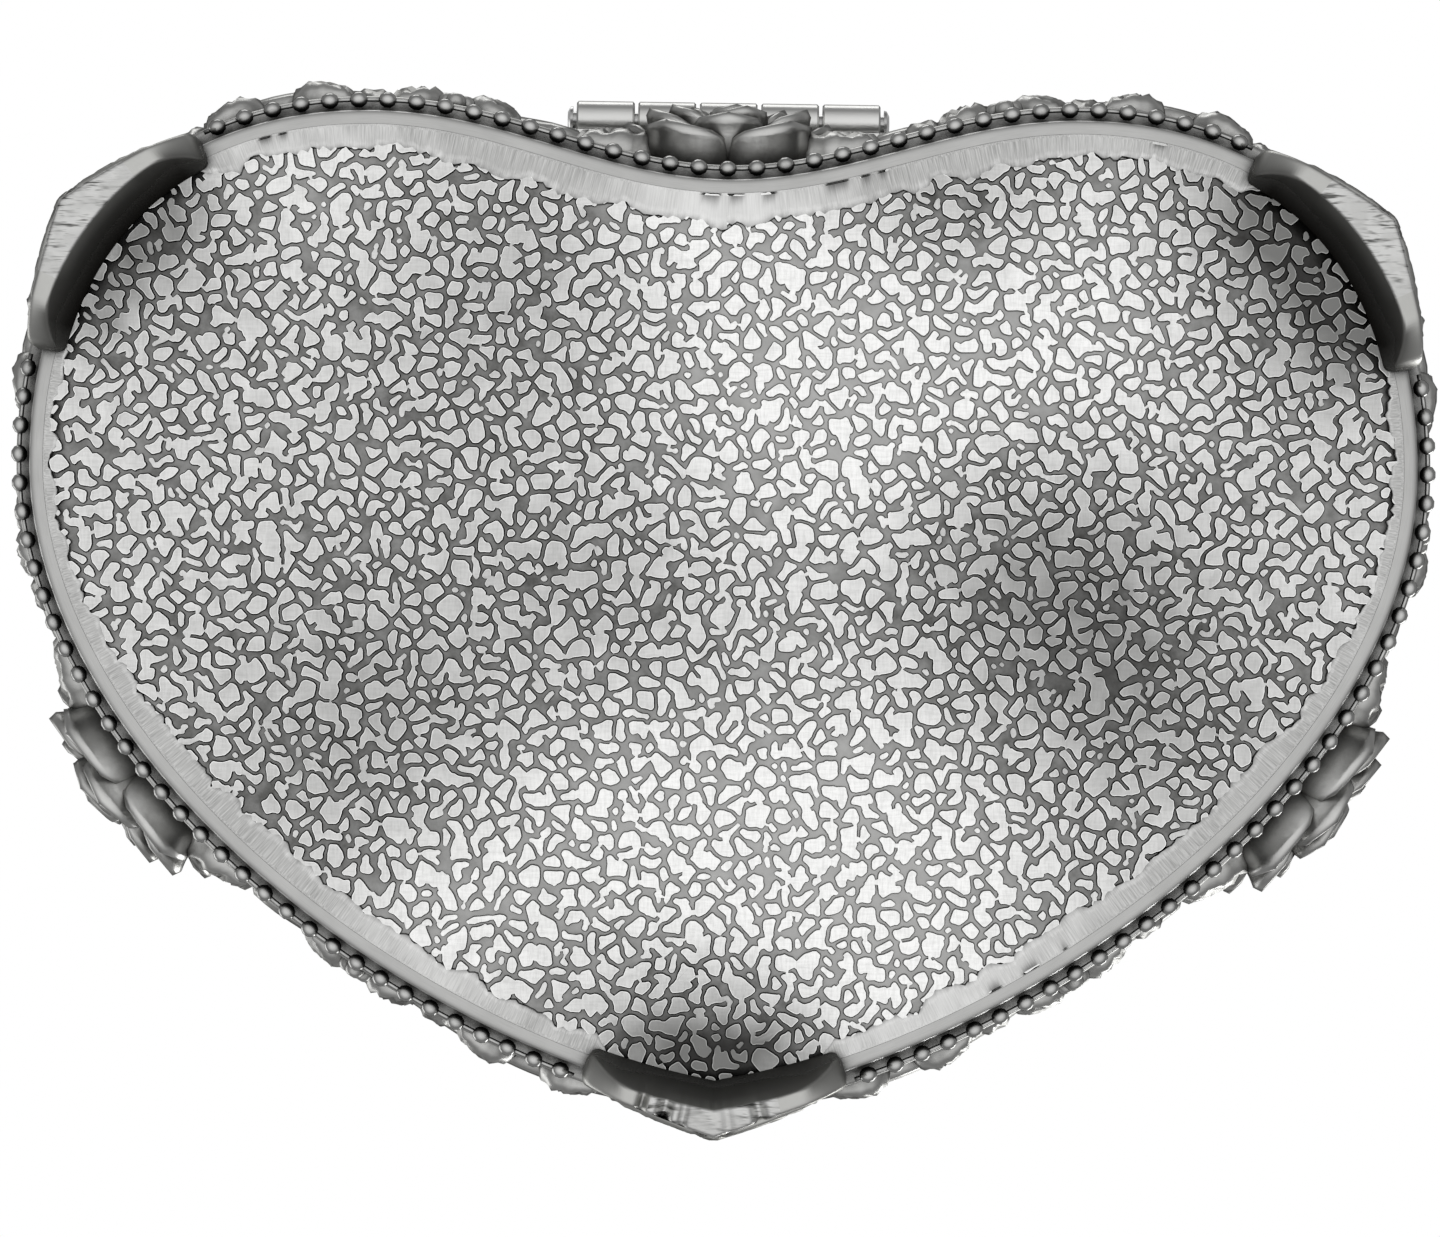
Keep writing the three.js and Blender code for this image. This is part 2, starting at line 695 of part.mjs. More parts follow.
// The laurel border's leaf pairs point to the middle of the front, and each spray ends in a flower.
function lidSprays() {
  const pieces = [];
  for (let i = 0; i < borderPairs; i++) {
    const s = ((i + 0.5) * perimeter) / borderPairs;
    for (const lean of [-1, 1]) {
      const inside = borderInside + lean * stemHalfWidth;
      const turn = lean * borderLeaf[2];
      const heading = i < borderPairs / 2 ? turn : Math.PI - turn;
      pieces.push(reliefLeaf(onLidEdge, s, inside, heading, borderLeaf));
    }
  }
  for (const side of [1, -1]) {
    for (const points of sprays) {
      const curve = new THREE.CubicBezierCurve(...points.map(([x, y]) => new THREE.Vector2(side * x, y)));
      const end = curve.getPoint(1).addScaledVector(curve.getTangent(1), sprayFlower);
      pieces.push(stem(onLid, curve.getPoints(3).map((p) => [p.x, p.y])));
      pieces.push(reliefFlower(onLid, end.x, end.y, sprayFlower));
      for (const [i, share] of sprayLeaves.entries()) {
        const ahead = curve.getTangent(share);
        const lean = i % 2 === 0 ? side : -side;
        const foot = curve.getPoint(share);
        foot.x -= lean * stemClear * ahead.y;
        foot.y += lean * stemClear * ahead.x;
        pieces.push(reliefLeaf(onLid, foot.x, foot.y, ahead.angle() + lean * sprayLeaf[2], sprayLeaf));
      }
    }
  }
  return pieces;
}

// Velvet: a crowned pad on the floor, a band round the wall and a thin pad in the lid.
const padOffset = -wallInside - velvetThickness - 2 * seamGap;
function floorPad() {
  const bottom = plateTop + seamGap;
  const swell = [0, 0.15, 0.5].map((pull) => [
    padOffset - padShoulder,
    pull,
    bottom + padEdge + padCrown * (1 - (1 - pull) ** 2),
  ]);
  return disc(
    [[padOffset - padTuck, 0, bottom], [padOffset, 0, bottom + padEdge / 2], ...swell],
    padStations,
  );
}

function wallLining() {
  const outer = -wallInside - seamGap;
  const top = wallTop + lipHeight - velvetStep;
  const bottom = plateTop + seamGap;
  return ring(
    [
      [outer, bottom],
      [outer, top],
      [outer - velvetThickness, top],
      [outer - velvetThickness, bottom],
    ],
    padStations,
  );
}

function lidPad() {
  const edge = innerDomeOffset - seamGap - padTuck;
  const under = lidCeiling + lidPadDrop;
  const rise = innerDomeHeight + innerDomeZ - under - lidPadThickness - lidPadGap;
  const lower = [...innerPulls.toReversed(), 0].map((pull) => [
    edge - padTuck,
    pull,
    under + rise * domeRise(pull),
  ]);
  const upper = innerPulls.map((pull) => {
    const [, , z] = innerDome(pull);
    return [edge, pull, z - lidPadGap];
  });
  return disc([...lower, [edge, 0, under + lidPadGap], ...upper], padStations);
}

// Hinge: two leaves with alternate knuckles on one pin, across the notch.
function barrel(radius, from, to) {
  const g = new THREE.CylinderGeometry(radius, radius, to - from, barrelSides);
  g.rotateZ(Math.PI / 2);
  g.translate((from + to) / 2, hingeY, hingeZ);
  return g;
}

// A leaf's plate follows the wall or the lid in front, and is straight behind.
function leafPlate(frontOffset, low) {
  const half = hingeWidth / 2;
  const back = hingeY - knuckleRadius - leafClearance;
  const outline = new THREE.Shape();
  outline.moveTo(-half, back);
  const steps = 10;
  const reach = heartDistance(half);
  for (let i = 0; i <= steps; i++) {
    const p = place(reach * ((2 * i) / steps - 1), frontOffset, 0);
    outline.lineTo(Math.max(-half, Math.min(half, p.x)), p.y);
  }
  outline.lineTo(half, back);
  const g = new THREE.ExtrudeGeometry(outline, { depth: leafThickness, bevelEnabled: false });
  g.translate(0, 0, low);
  return g;
}

// How far along the heart line, from the notch, the point with this x lies.
function heartDistance(x) {
  let s = 0;
  while (onLine(s).x < x) s += 0.05;
  return s;
}

const knuckleCount = 5;
const knuckleLength = hingeWidth / knuckleCount;
function hingeLeaf(frontOffset, low, first) {
  const back = hingeY - knuckleRadius - leafClearance;
  const pieces = [leafPlate(frontOffset, low)];
  for (let i = first; i < knuckleCount; i += 2) {
    const from = -hingeWidth / 2 + i * knuckleLength + knuckleGap / 2;
    const to = from + knuckleLength - knuckleGap;
    const arm = new THREE.BoxGeometry(to - from, hingeY - back + armLap, leafThickness);
    arm.translate((from + to) / 2, (hingeY + back - armLap) / 2, low + leafThickness / 2);
    pieces.push(barrel(knuckleRadius, from, to), arm);
  }
  const bore = toSolid(barrel(pinRadius + pinClearance, -hingeWidth, hingeWidth));
  return fromSolid(union(pieces).subtract(bore));
}

function hingePin() {
  const half = hingeWidth / 2 + knuckleGap / 2;
  const pin = [barrel(pinRadius, -half - pinHead / 2, half + pinHead / 2)];
  pin.push(barrel(pinHeadRadius, -half - pinHead, -half), barrel(pinHeadRadius, half, half + pinHead));
  return fromSolid(union(pin));
}

const pewter = { color: 0x8e8e8a, metalness: 1, roughness: 0.36 };
const ground = { color: 0xc9c9c5, metalness: 1, roughness: 0.28 };
const steel = { color: 0xb4b4b2, metalness: 1, roughness: 0.3 };
const velvet = { color: 0x5a0f1a, metalness: 0, roughness: 0.95 };

// Faces that meet at more than this angle keep a sharp edge.
const creaseAngle = Math.PI / 6;

function addPiece(group, name, geometry, finish) {
  const creased = toCreasedNormals(geometry, creaseAngle);
  const mesh = new THREE.Mesh(creased, new THREE.MeshStandardMaterial(finish));
  mesh.name = name;
  group.add(mesh);
}

const tub = new THREE.Group();
const envelope = toSolid(boxEnvelope());
addPiece(tub, "side_wall", sideWall(), pewter);
addPiece(tub, "base_plate", basePlate(), ground);

const footPlaces = {
  foot_right: sideFootPlace,
  foot_front: perimeter / 2,
  foot_left: perimeter - sideFootPlace,
};
for (const [name, middle] of Object.entries(footPlaces)) {
  addPiece(tub, name, foot(middle, envelope), ground);
}

// The foot beads fill the three stretches between the feet.
const footBeads = {
  beads_right: [sideFootPlace, perimeter / 2],
  beads_left: [perimeter / 2, perimeter - sideFootPlace],
  beads_back: [-sideFootPlace, sideFootPlace],
};
const clearOfFoot = footLength / 2 + footClear;
for (const [name, [from, to]] of Object.entries(footBeads)) {
  const z = floorZ + beadLift;
  const row = beadRow(from + clearOfFoot, to - clearOfFoot, beadPitch, beadRadius, 0, z, false);
  addPiece(tub, name, row, pewter);
}

addPiece(tub, "rose_right", wallRose(flankRosePlace, envelope), pewter);
addPiece(tub, "rose_left", wallRose(-flankRosePlace, envelope), pewter);
addPiece(tub, "rose_back", wallRose(0, envelope), pewter);
addPiece(tub, "floor_pad", floorPad(), velvet);
addPiece(tub, "wall_lining", wallLining(), velvet);
const boxLeafLow = hingeZ - knuckleRadius;
addPiece(tub, "hinge_leaf_box", hingeLeaf(wallTopEdge + seamGap, boxLeafLow, 0), pewter);
addPiece(tub, "hinge_pin", hingePin(), steel);

const lid = new THREE.Group();
addPiece(lid, "lid_shell", lidShell(), pewter);
const lidBeadZ = lidZ + lidBandHeight + lidBeadRadius + seamGap;
const lidBeads = beadRow(0, perimeter, lidBeadPitch, lidBeadRadius, lidBeadOffset, lidBeadZ, true);
addPiece(lid, "lid_beads", lidBeads, pewter);

const lidCut = toSolid(lidEnvelope());
const upwards = new THREE.Vector3(0, 0, 1);
const lidTop = new THREE.Vector3(0, 0, domeEdgeZ + domeHeight - roseSink);
const topLeaves = Array.from({ length: rosePetals }, (_, i) => (2 * Math.PI * i) / rosePetals);
const topRose = lidRose(lidTop, upwards, lidRoseRadius, lidRoseStand, rosePetals, topLeaves, lidCut);
addPiece(lid, "lid_rose", topRose, pewter);
for (const [name, side] of [["lid_rose_right", 1], ["lid_rose_left", -1]]) {
  const s = side * lobeRosePlace;
  const normal = domeNormal(s, lobeRosePull);
  const point = domePoint(s, lobeRosePull).addScaledVector(normal, -lobeRoseSink);
  const leafTurns = lobeLeaves.map((turn) => side * turn);
  const small = lidRose(point, normal, lobeRoseRadius, lobeRoseStand, lobeRosePetals, leafTurns, lidCut);
  addPiece(lid, name, small, pewter);
}
addPiece(lid, "lid_lining", lidPad(), velvet);
const lidLeafLow = hingeZ + knuckleRadius - leafThickness;
addPiece(lid, "hinge_leaf_lid", hingeLeaf(lidOverhang + seamGap, lidLeafLow, 1), pewter);

const trinketBox = new THREE.Group();
trinketBox.add(tub, lid);

export default trinketBox;
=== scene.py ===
# %% [markdown]
# # A heart-shaped trinket box in antiqued pewter
# The box is cast in pewter, blackened all over, and then polished, so that the recesses stay dark and the
# high spots shine. It is seen from straight below: a pebbled base plate, a ground rim with a row of beads,
# three bracket feet, and the undersides of three roses that stand out of the wall.
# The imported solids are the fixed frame. They say where everything is, and this file makes the looks.

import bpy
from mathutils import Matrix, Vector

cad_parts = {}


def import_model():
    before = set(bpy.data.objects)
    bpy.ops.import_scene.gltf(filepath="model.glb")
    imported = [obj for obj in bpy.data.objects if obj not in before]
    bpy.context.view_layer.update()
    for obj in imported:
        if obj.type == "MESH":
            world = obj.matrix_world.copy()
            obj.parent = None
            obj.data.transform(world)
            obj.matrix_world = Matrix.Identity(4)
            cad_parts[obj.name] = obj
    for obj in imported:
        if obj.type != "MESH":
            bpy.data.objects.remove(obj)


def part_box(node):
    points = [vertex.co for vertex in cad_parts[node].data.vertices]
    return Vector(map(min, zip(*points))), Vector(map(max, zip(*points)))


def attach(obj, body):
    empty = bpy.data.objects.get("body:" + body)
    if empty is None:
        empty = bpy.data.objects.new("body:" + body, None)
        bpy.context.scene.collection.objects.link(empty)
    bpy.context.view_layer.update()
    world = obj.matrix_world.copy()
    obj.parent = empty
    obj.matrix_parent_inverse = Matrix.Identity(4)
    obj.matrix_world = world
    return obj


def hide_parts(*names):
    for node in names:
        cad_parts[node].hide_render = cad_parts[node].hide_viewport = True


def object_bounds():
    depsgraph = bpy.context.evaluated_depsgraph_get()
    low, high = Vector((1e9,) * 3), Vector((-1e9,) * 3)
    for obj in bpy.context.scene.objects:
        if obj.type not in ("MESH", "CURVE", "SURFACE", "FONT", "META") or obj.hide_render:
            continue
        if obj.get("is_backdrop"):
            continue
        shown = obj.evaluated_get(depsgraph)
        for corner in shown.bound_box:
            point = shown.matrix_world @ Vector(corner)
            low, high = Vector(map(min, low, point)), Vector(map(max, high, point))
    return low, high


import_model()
cad_low, cad_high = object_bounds()
print("solid box, mm:", [round(1000 * x, 1) for x in (*cad_low, *cad_high)])

# %% Libraries and units
import math

import bmesh
import bpy
import numpy as np
from mathutils import Matrix, Vector, geometry

mm = 0.001
turn = 2 * math.pi

# %% [markdown]
# ## The heart line
# Everything round the box follows one line: the centre line of the beads at its foot. It is three Bezier
# curves on the right, mirrored on the left. The pieces need it by distance, so it is walked once, and the
# lengths walked are kept beside the points. A place on the box is then three numbers: the distance along the
# line from the notch, the offset outwards, and the height.

# %% The heart line's driving sizes
half_width = 44.1 * mm
heart_depth = 63.2 * mm
lobe_x = 22.2 * mm
notch_depth = 4 * mm
widest_from_back = 22.7 * mm
point_rise = 3.1 * mm
notch_handle = 7.7 * mm
lobe_handles = (8.4 * mm, 12.7 * mm)
side_handles = (14.8 * mm, 19.1 * mm)
point_handle = 19.4 * mm
back_y = heart_depth / 2
side_y = back_y - widest_from_back

# %% Walk the heart line
def right_half():
    notch = Vector((0, back_y - notch_depth))
    lobe = Vector((lobe_x, back_y))
    side = Vector((half_width, side_y))
    point = Vector((0, -back_y))
    across, up = Vector((1, 0)), Vector((0, 1))
    curves = [
        (notch, notch + across * notch_handle, lobe - across * lobe_handles[0], lobe),
        (lobe, lobe + across * lobe_handles[1], side + up * side_handles[0], side),
        (side, side - up * side_handles[1], Vector((point_handle, point.y + point_rise)), point),
    ]
    walked = [notch]
    for curve in curves:
        walked += geometry.interpolate_bezier(*curve, 400)[1:]
    return [(p[0], p[1]) for p in walked]


half = right_half()
heart = np.array(half + [(-x, y) for x, y in reversed(half[1:-1])] + [half[0]])
lengths = np.concatenate([[0], np.cumsum(np.hypot(*np.diff(heart, axis=0).T))])
perimeter = lengths[-1]
print("round the heart, mm:", round(perimeter / mm, 2))


def on_line(s):
    s = np.mod(s, perimeter)
    return np.interp(s, lengths, heart[:, 0]), np.interp(s, lengths, heart[:, 1])


normal_reach = 1.5 * mm


def outward(s):
    """The direction out of the heart. Its chord is long enough to round the normals over the point."""
    x0, y0 = on_line(s - normal_reach)
    x1, y1 = on_line(s + normal_reach)
    along = np.hypot(x1 - x0, y1 - y0)
    return -(y1 - y0) / along, (x1 - x0) / along


# %% A quick table for one place at a time
table_size = 4800
table_s = np.arange(table_size + 1) * perimeter / table_size
line_table = list(zip(*(values.tolist() for values in (*on_line(table_s), *outward(table_s)))))


def from_table(s):
    at = (s % perimeter) / perimeter * table_size
    i = min(int(at), table_size - 1)
    t = at - i
    return [a + (b - a) * t for a, b in zip(line_table[i], line_table[i + 1])]


def facing(s):
    return from_table(s)[2:]


def place(s, offset, z):
    x, y, nx, ny = from_table(s)
    return Vector((x + nx * offset, y + ny * offset, z))


# %% [markdown]
# ## A grid laid over a formula
# Most castings here are one skin: a band carried round the heart, a petal, a leaf or a dome. The grid
# operator makes the skin flat, and each of its corners is then moved to where a formula puts it. The same
# two numbers, u and v, also go into a UV map, so that a finish can follow the skin. Where the formula
# brings the grid's edges together, merging by distance closes it.

# %% Grids, objects and pieces
def grid(columns, rows, formula):
    """A bmesh of columns by rows faces. formula(u, v) gives each corner's place, with u and v from 0 to 1."""
    bm = bmesh.new()
    uv = bm.loops.layers.uv.new("UVMap")
    bmesh.ops.create_grid(bm, x_segments=columns, y_segments=rows, size=0.5)
    for corner in bm.verts:
        u = round((corner.co.x + 0.5) * columns) / columns
        v = round((corner.co.y + 0.5) * rows) / rows
        for loop in corner.link_loops:
            loop[uv].uv = (u, v)
        corner.co = formula(u, v)
    bmesh.ops.remove_doubles(bm, verts=bm.verts, dist=1e-7)
    return bm


def made(name, bm, finishes, smooth=True):
    """Turns a bmesh into a finished object at the origin, with one material or several."""
    mesh = bpy.data.meshes.new(name)
    bm.to_mesh(mesh)
    bm.free()
    for finish in finishes if isinstance(finishes, (list, tuple)) else [finishes]:
        mesh.materials.append(finish)
    if smooth:
        mesh.polygons.foreach_set("use_smooth", [True] * len(mesh.polygons))
    piece = bpy.data.objects.new(name, mesh)
    bpy.context.scene.collection.objects.link(piece)
    return piece


def belongs(piece, body, slot, *nodes):
    """The piece moves with a body and stands for these nodes, which are hidden. Its slot is not used."""
    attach(piece, body)
    if nodes:
        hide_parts(*nodes)
    triangles = sum(len(p.vertices) - 2 for p in piece.data.polygons)
    print(f"{piece.name}: {triangles} triangles")


def joined(meshes):
    """One bmesh from several."""
    whole = bmesh.new()
    for bm in meshes:
        part = bpy.data.meshes.new("part")
        bm.to_mesh(part)
        bm.free()
        whole.from_mesh(part)
        bpy.data.meshes.remove(part)
    return whole


def face_out(bm):
    bmesh.ops.recalc_face_normals(bm, faces=bm.faces)
    return bm


# %% [markdown]
# ## Finishes
# Pewter that has been blackened and polished needs three things: a bright metal, a dark patina, and a rule
# for where one gives way to the other. Blender's Ambient Occlusion node measures how boxed in a point is
# within a millimetre or so, which is just where the polishing wheel can't reach, so it is that rule. Noise
# breaks its edge up, because a wheel is never even. All sizes are in metres, so a noise scale of 1000 has
# grains a millimetre apart.

# %% Node helpers
def plug(tree, sockets, values):
    """Gives sockets their values: a node's output is linked, and a plain value is set on the socket."""
    for name, value in values.items():
        if isinstance(value, bpy.types.NodeSocket):
            tree.links.new(value, sockets[name])
        else:
            sockets[name].default_value = value


def add(tree, kind, inputs=None, **settings):
    new_node = tree.nodes.new("ShaderNode" + kind)
    for name, value in settings.items():
        setattr(new_node, name, value)
    plug(tree, new_node.inputs, inputs or {})
    return new_node


def new_finish(name):
    finish = bpy.data.materials.new(name)
    finish.use_nodes = True
    tree = finish.node_tree
    return finish, tree, tree.nodes["Principled BSDF"]


def ramp(tree, value, low, high, dark, bright):
    """Maps a value between low and high to colours between dark and bright."""
    new_node = add(tree, "ValToRGB", {"Fac": value})
    first, last = new_node.color_ramp.elements
    first.position, last.position = low, high
    first.color, last.color = (*dark, 1), (*bright, 1)
    return new_node.outputs["Color"]


def span(tree, value, low, high, to_low, to_high):
    """Maps a value between low and high to one between to_low and to_high."""
    inputs = {"Value": value, "From Min": low, "From Max": high, "To Min": to_low, "To Max": to_high}
    return add(tree, "MapRange", inputs).outputs["Result"]


def mixed(tree, share, a, b):
    """Mixes two colours, of which b takes the share."""
    a, b = [(*colour, 1) if isinstance(colour, tuple) else colour for colour in (a, b)]
    return add(tree, "Mix", {0: share, 6: a, 7: b}, data_type="RGBA").outputs[2]


def reckoned(tree, operation, a, b):
    return add(tree, "Math", {0: a, 1: b}, operation=operation).outputs[0]


def times(tree, a, b):
    return reckoned(tree, "MULTIPLY", a, b)


# %% Node helpers for what a finish reads
def object_place(tree):
    return add(tree, "TexCoord").outputs["Object"]


def marked(tree, name):
    """A number that the mesh carries at each corner."""
    return add(tree, "Attribute", attribute_name=name).outputs["Fac"]


def openness(tree, reach):
    """How little of the sky is hidden by what stands within reach: 1 is all open."""
    return add(tree, "AmbientOcclusion", {"Distance": reach}, samples=6).outputs["AO"]


def speckle(tree, coords, scale, detail=4, roughness=0.6, stretch=None, turned=0):
    """Noise on a set of coordinates. Stretch squeezes it along each axis, for scratches."""
    if stretch:
        mapping = {"Vector": coords, "Scale": stretch, "Rotation": (0, 0, turned)}
        coords = add(tree, "Mapping", mapping).outputs["Vector"]
    inputs = {"Vector": coords, "Scale": scale, "Detail": detail, "Roughness": roughness}
    return add(tree, "TexNoise", inputs).outputs["Fac"]


def bumped(tree, height, distance, under=None):
    inputs = {"Height": height, "Distance": distance}
    if under:
        inputs["Normal"] = under
    return add(tree, "Bump", inputs).outputs["Normal"]


# %% [markdown]
# The antique finish is used on all cast relief. The polished metal isn't flat either: it has faint
# hairlines and a slow change in tone. The patina is darker, rougher, and slightly warm. A metal shader turns
# white where the surface is seen at a glancing angle, and that would draw a white line round every bead and
# petal, so its Specular Tint, which is the colour at that angle, is kept dark.

# %% Antique pewter
glancing_tint = (0.05, 0.05, 0.05, 1)


def antique(name, bright, patina, reach, low, high, rough=(0.3, 0.6), grain=0.006 * mm, shaded=False):
    """Patina gives way to bright metal where the openness rises from low to high."""
    finish, tree, surface = new_finish(name)
    at = object_place(tree)
    uneven = span(tree, speckle(tree, at, 700), 0.3, 0.7, -0.12, 0.12)
    polished = span(tree, reckoned(tree, "ADD", openness(tree, reach), uneven), low, high, 0, 1)
    # The shade number darkens the feet's inner faces further: painted shade.
    if shaded:
        polished = times(tree, polished, span(tree, marked(tree, "shade"), 0, 1, 1, 0))
    tone = ramp(tree, speckle(tree, at, 90, 3), 0.35, 0.7, [0.86 * c for c in bright], bright)
    hairs = bumped(tree, speckle(tree, at, 1, 2, stretch=(900, 7000, 2500), turned=0.5), grain * 0.6)
    pits = speckle(tree, at, 2600, 3)
    plug(tree, surface.inputs, {
        "Base Color": mixed(tree, polished, patina, tone),
        "Metallic": 1,
        "Specular Tint": glancing_tint,
        "Roughness": span(tree, polished, 0, 1, rough[1], rough[0]),
        "Normal": bumped(tree, pits, grain, under=hairs),
    })
    return finish


dull_tones = (0.2, 0.2, 0.195), (0.02, 0.019, 0.018)
relief_tones = (0.66, 0.66, 0.645), (0.03, 0.029, 0.027)
rose_tones = (0.66, 0.66, 0.645), (0.09, 0.087, 0.081)
bead_tones = (0.62, 0.62, 0.61), (0.03, 0.03, 0.028)
dome_tones = (0.64, 0.64, 0.625), (0.04, 0.038, 0.035)
hinge_tones = (0.8, 0.8, 0.785), (0.12, 0.118, 0.115)
foot_tones = (0.58, 0.58, 0.56), (0.03, 0.028, 0.025)
stippled_pewter = antique("stippled_pewter", *dull_tones, 2.2 * mm, 0.3, 1, (0.45, 0.65), 0.05 * mm)
relief_pewter = antique("relief_pewter", *relief_tones, 1.6 * mm, 0.42, 0.86)
rose_pewter = antique("rose_pewter", *rose_tones, 2.2 * mm, 0.25, 0.85)
bead_pewter = antique("bead_pewter", *bead_tones, 0.9 * mm, 0.45, 0.95, (0.22, 0.5))
dome_pewter = antique("dome_pewter", *dome_tones, 1.8 * mm, 0.35, 0.8)
hinge_pewter = antique("hinge_pewter", *hinge_tones, 1.2 * mm, 0.15, 0.6)
foot_pewter = antique("foot_pewter", *foot_tones, 1.5 * mm, 0.3, 0.8, (0.36, 0.55), shaded=True)
print("antique finishes:", [finish.name for finish in bpy.data.materials])

# %% [markdown]
# The rim was ground and then brushed along its length, so its hairlines follow the heart. They read the
# skin's own UV map, where u runs round the heart and v across the section. The band on the plate was ground
# across instead, and its inner edge, where the wheel left off, carries a bright burr.

# %% Brushed rim
band_burr = (0.68, 0.8)


def brushed(name, colour, least, along, across, rough, depth, burr=None):
    """Hairlines on the UV map, whose tones run from least of the colour to all of it."""
    finish, tree, surface = new_finish(name)
    skin = add(tree, "UVMap").outputs["UV"]
    at = object_place(tree)
    hairs = speckle(tree, skin, 1, 3, 0.7, stretch=(along, across, 1))
    tone = ramp(tree, hairs, 0.3, 0.7, [least * c for c in colour], colour)
    if burr:
        across_band = add(tree, "SeparateXYZ", {"Vector": skin}).outputs["Y"]
        broken = span(tree, speckle(tree, at, 1100), 0.4, 0.6, 0.3, 1)
        # The band is painted lighter where the plate's number is high: a painted reflection, as on the plate.
        bright = span(tree, marked(tree, "wear_and_painted_light"), 0.6, 0.95, 0, 0.6)
        tone = mixed(tree, bright, tone, (0.95, 0.95, 0.94))
        tone = mixed(tree, times(tree, span(tree, across_band, *burr, 0, 1), broken), tone, (1, 1, 0.99))
    clean = span(tree, openness(tree, 0.9 * mm), 0.35, 0.8, 0, 1)
    plug(tree, surface.inputs, {
        "Base Color": mixed(tree, clean, (0.03, 0.03, 0.028), tone),
        "Metallic": 1,
        "Roughness": span(tree, speckle(tree, at, 300), 0.3, 0.7, rough - 0.05, rough + 0.08),
        "Normal": bumped(tree, hairs, depth),
    })
    return finish


rim_pewter = brushed("rim_pewter", (0.57, 0.57, 0.56), 0.85, 130, 900, 0.42, 0.004 * mm)
ground_pewter = brushed("ground_pewter", (0.66, 0.66, 0.65), 0.5, 2400, 3, 0.32, 0.008 * mm, band_burr)
print("brushed finishes:", rim_pewter.name, ground_pewter.name)

# %% [markdown]
# The feet's soles were filed, which leaves coarse strokes: noise that is stretched far along one axis. The
# side feet were filed along the box, and the front one nearly across it. The pin is drawn wire, so its
# strokes run along its length.

# %% Filed soles and the pin
def filed(name, turned):
    finish, tree, surface = new_finish(name)
    at = object_place(tree)
    strokes = speckle(tree, at, 1, 2, 0.7, stretch=(500, 3400, 500), turned=turned)
    tone = ramp(tree, strokes, 0.36, 0.5, (0.12, 0.12, 0.115), (0.66, 0.66, 0.65))
    rubbed = span(tree, speckle(tree, at, 420, 2), 0.46, 0.58, 0, 0.8)
    plug(tree, surface.inputs, {
        "Base Color": mixed(tree, rubbed, tone, (0.56, 0.56, 0.55)),
        "Metallic": 1,
        "Roughness": 0.36,
        "Normal": bumped(tree, strokes, 0.05 * mm),
    })
    return finish


def wire_steel(name):
    finish, tree, surface = new_finish(name)
    drawn = speckle(tree, object_place(tree), 1, 2, stretch=(300, 5000, 5000))
    plug(tree, surface.inputs, {
        "Base Color": ramp(tree, drawn, 0.3, 0.7, (0.42, 0.42, 0.42), (0.62, 0.62, 0.61)),
        "Metallic": 1,
        "Roughness": 0.28,
        "Normal": bumped(tree, drawn, 0.004 * mm),
    })
    return finish


filed_along = filed("filed_along", 0.35)
filed_across = filed("filed_across", 1.75)
pin_steel = wire_steel("pin_steel")
print("filed and drawn finishes:", filed_along.name, filed_across.name, pin_steel.name)

# %% [markdown]
# Velvet's pile is far too fine to model, so it is all in the finish: a dark, rough surface with a sheen at
# glancing angles, and patches where the pile has been brushed the other way.

# %% Velvet
def pile(name):
    finish, tree, surface = new_finish(name)
    at = object_place(tree)
    brushing, fibre = speckle(tree, at, 110, 3, 0.5), speckle(tree, at, 4200, 2)
    tone = ramp(tree, brushing, 0.3, 0.7, (0.095, 0.007, 0.013), (0.155, 0.011, 0.02))
    between = span(tree, fibre, 0.35, 0.65, 0, 0.5)
    plug(tree, surface.inputs, {
        "Base Color": mixed(tree, between, tone, (0.03, 0.002, 0.004)),
        "Roughness": 0.95,
        "Specular IOR Level": 0.15,
        "Sheen Weight": 0.7,
        "Sheen Roughness": 0.35,
        "Sheen Tint": (0.75, 0.16, 0.2, 1),
        "Normal": bumped(tree, fibre, 0.05 * mm, under=bumped(tree, brushing, 0.12 * mm)),
    })
    return finish


velvet = pile("velvet")
print("cloth finish:", velvet.name)

# %% [markdown]
# ## The side wall
# The wall is one section carried round the heart: the smooth rim, a groove for the beads, a moulding, the
# plain panel that carries the relief, a second moulding, and the lip that the lid drops over. Its corners
# are rounded, as a casting's are, by running each one through a short arc.

# %% Section sizes, from the solids
wall_low, wall_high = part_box("side_wall")
plate_low, plate_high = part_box("base_plate")
floor_z = wall_low.z
lip_top = wall_high.z
lip_height = 1 * mm
wall_top = lip_top - lip_height
seam = 0.2 * mm
rim_width = 1.6 * mm
wall_inside = 2.3 * mm
lip_outside = 1.2 * mm
bead_radius = 0.52 * mm
bead_z = floor_z + 1.15 * mm
groove = bead_radius + seam
groove_top = bead_z + bead_radius + seam
panel_foot = groove_top + 1.8 * mm
panel_head = wall_top - 3.9 * mm

# %% Round the corners of a section
def rounded(corners, radius, steps=3, closed=True):
    """Replaces each corner of a section by a short curve that leaves it and joins it on the straight."""
    section = []
    count = len(corners)
    for i, (offset, z, *own) in enumerate(corners):
        here = Vector((offset, z))
        if not closed and i in (0, count - 1):
            section.append(here)
            continue
        back = Vector(corners[i - 1][:2]) - here
        on = Vector(corners[(i + 1) % count][:2]) - here
        r = min(own[0] if own else radius, 0.45 * back.length, 0.45 * on.length)
        a, b = here + back.normalized() * r, here + on.normalized() * r
        for k in range(steps + 1):
            t = k / steps
            section.append(a * (1 - t) ** 2 + here * 2 * t * (1 - t) + b * t**2)
    return section


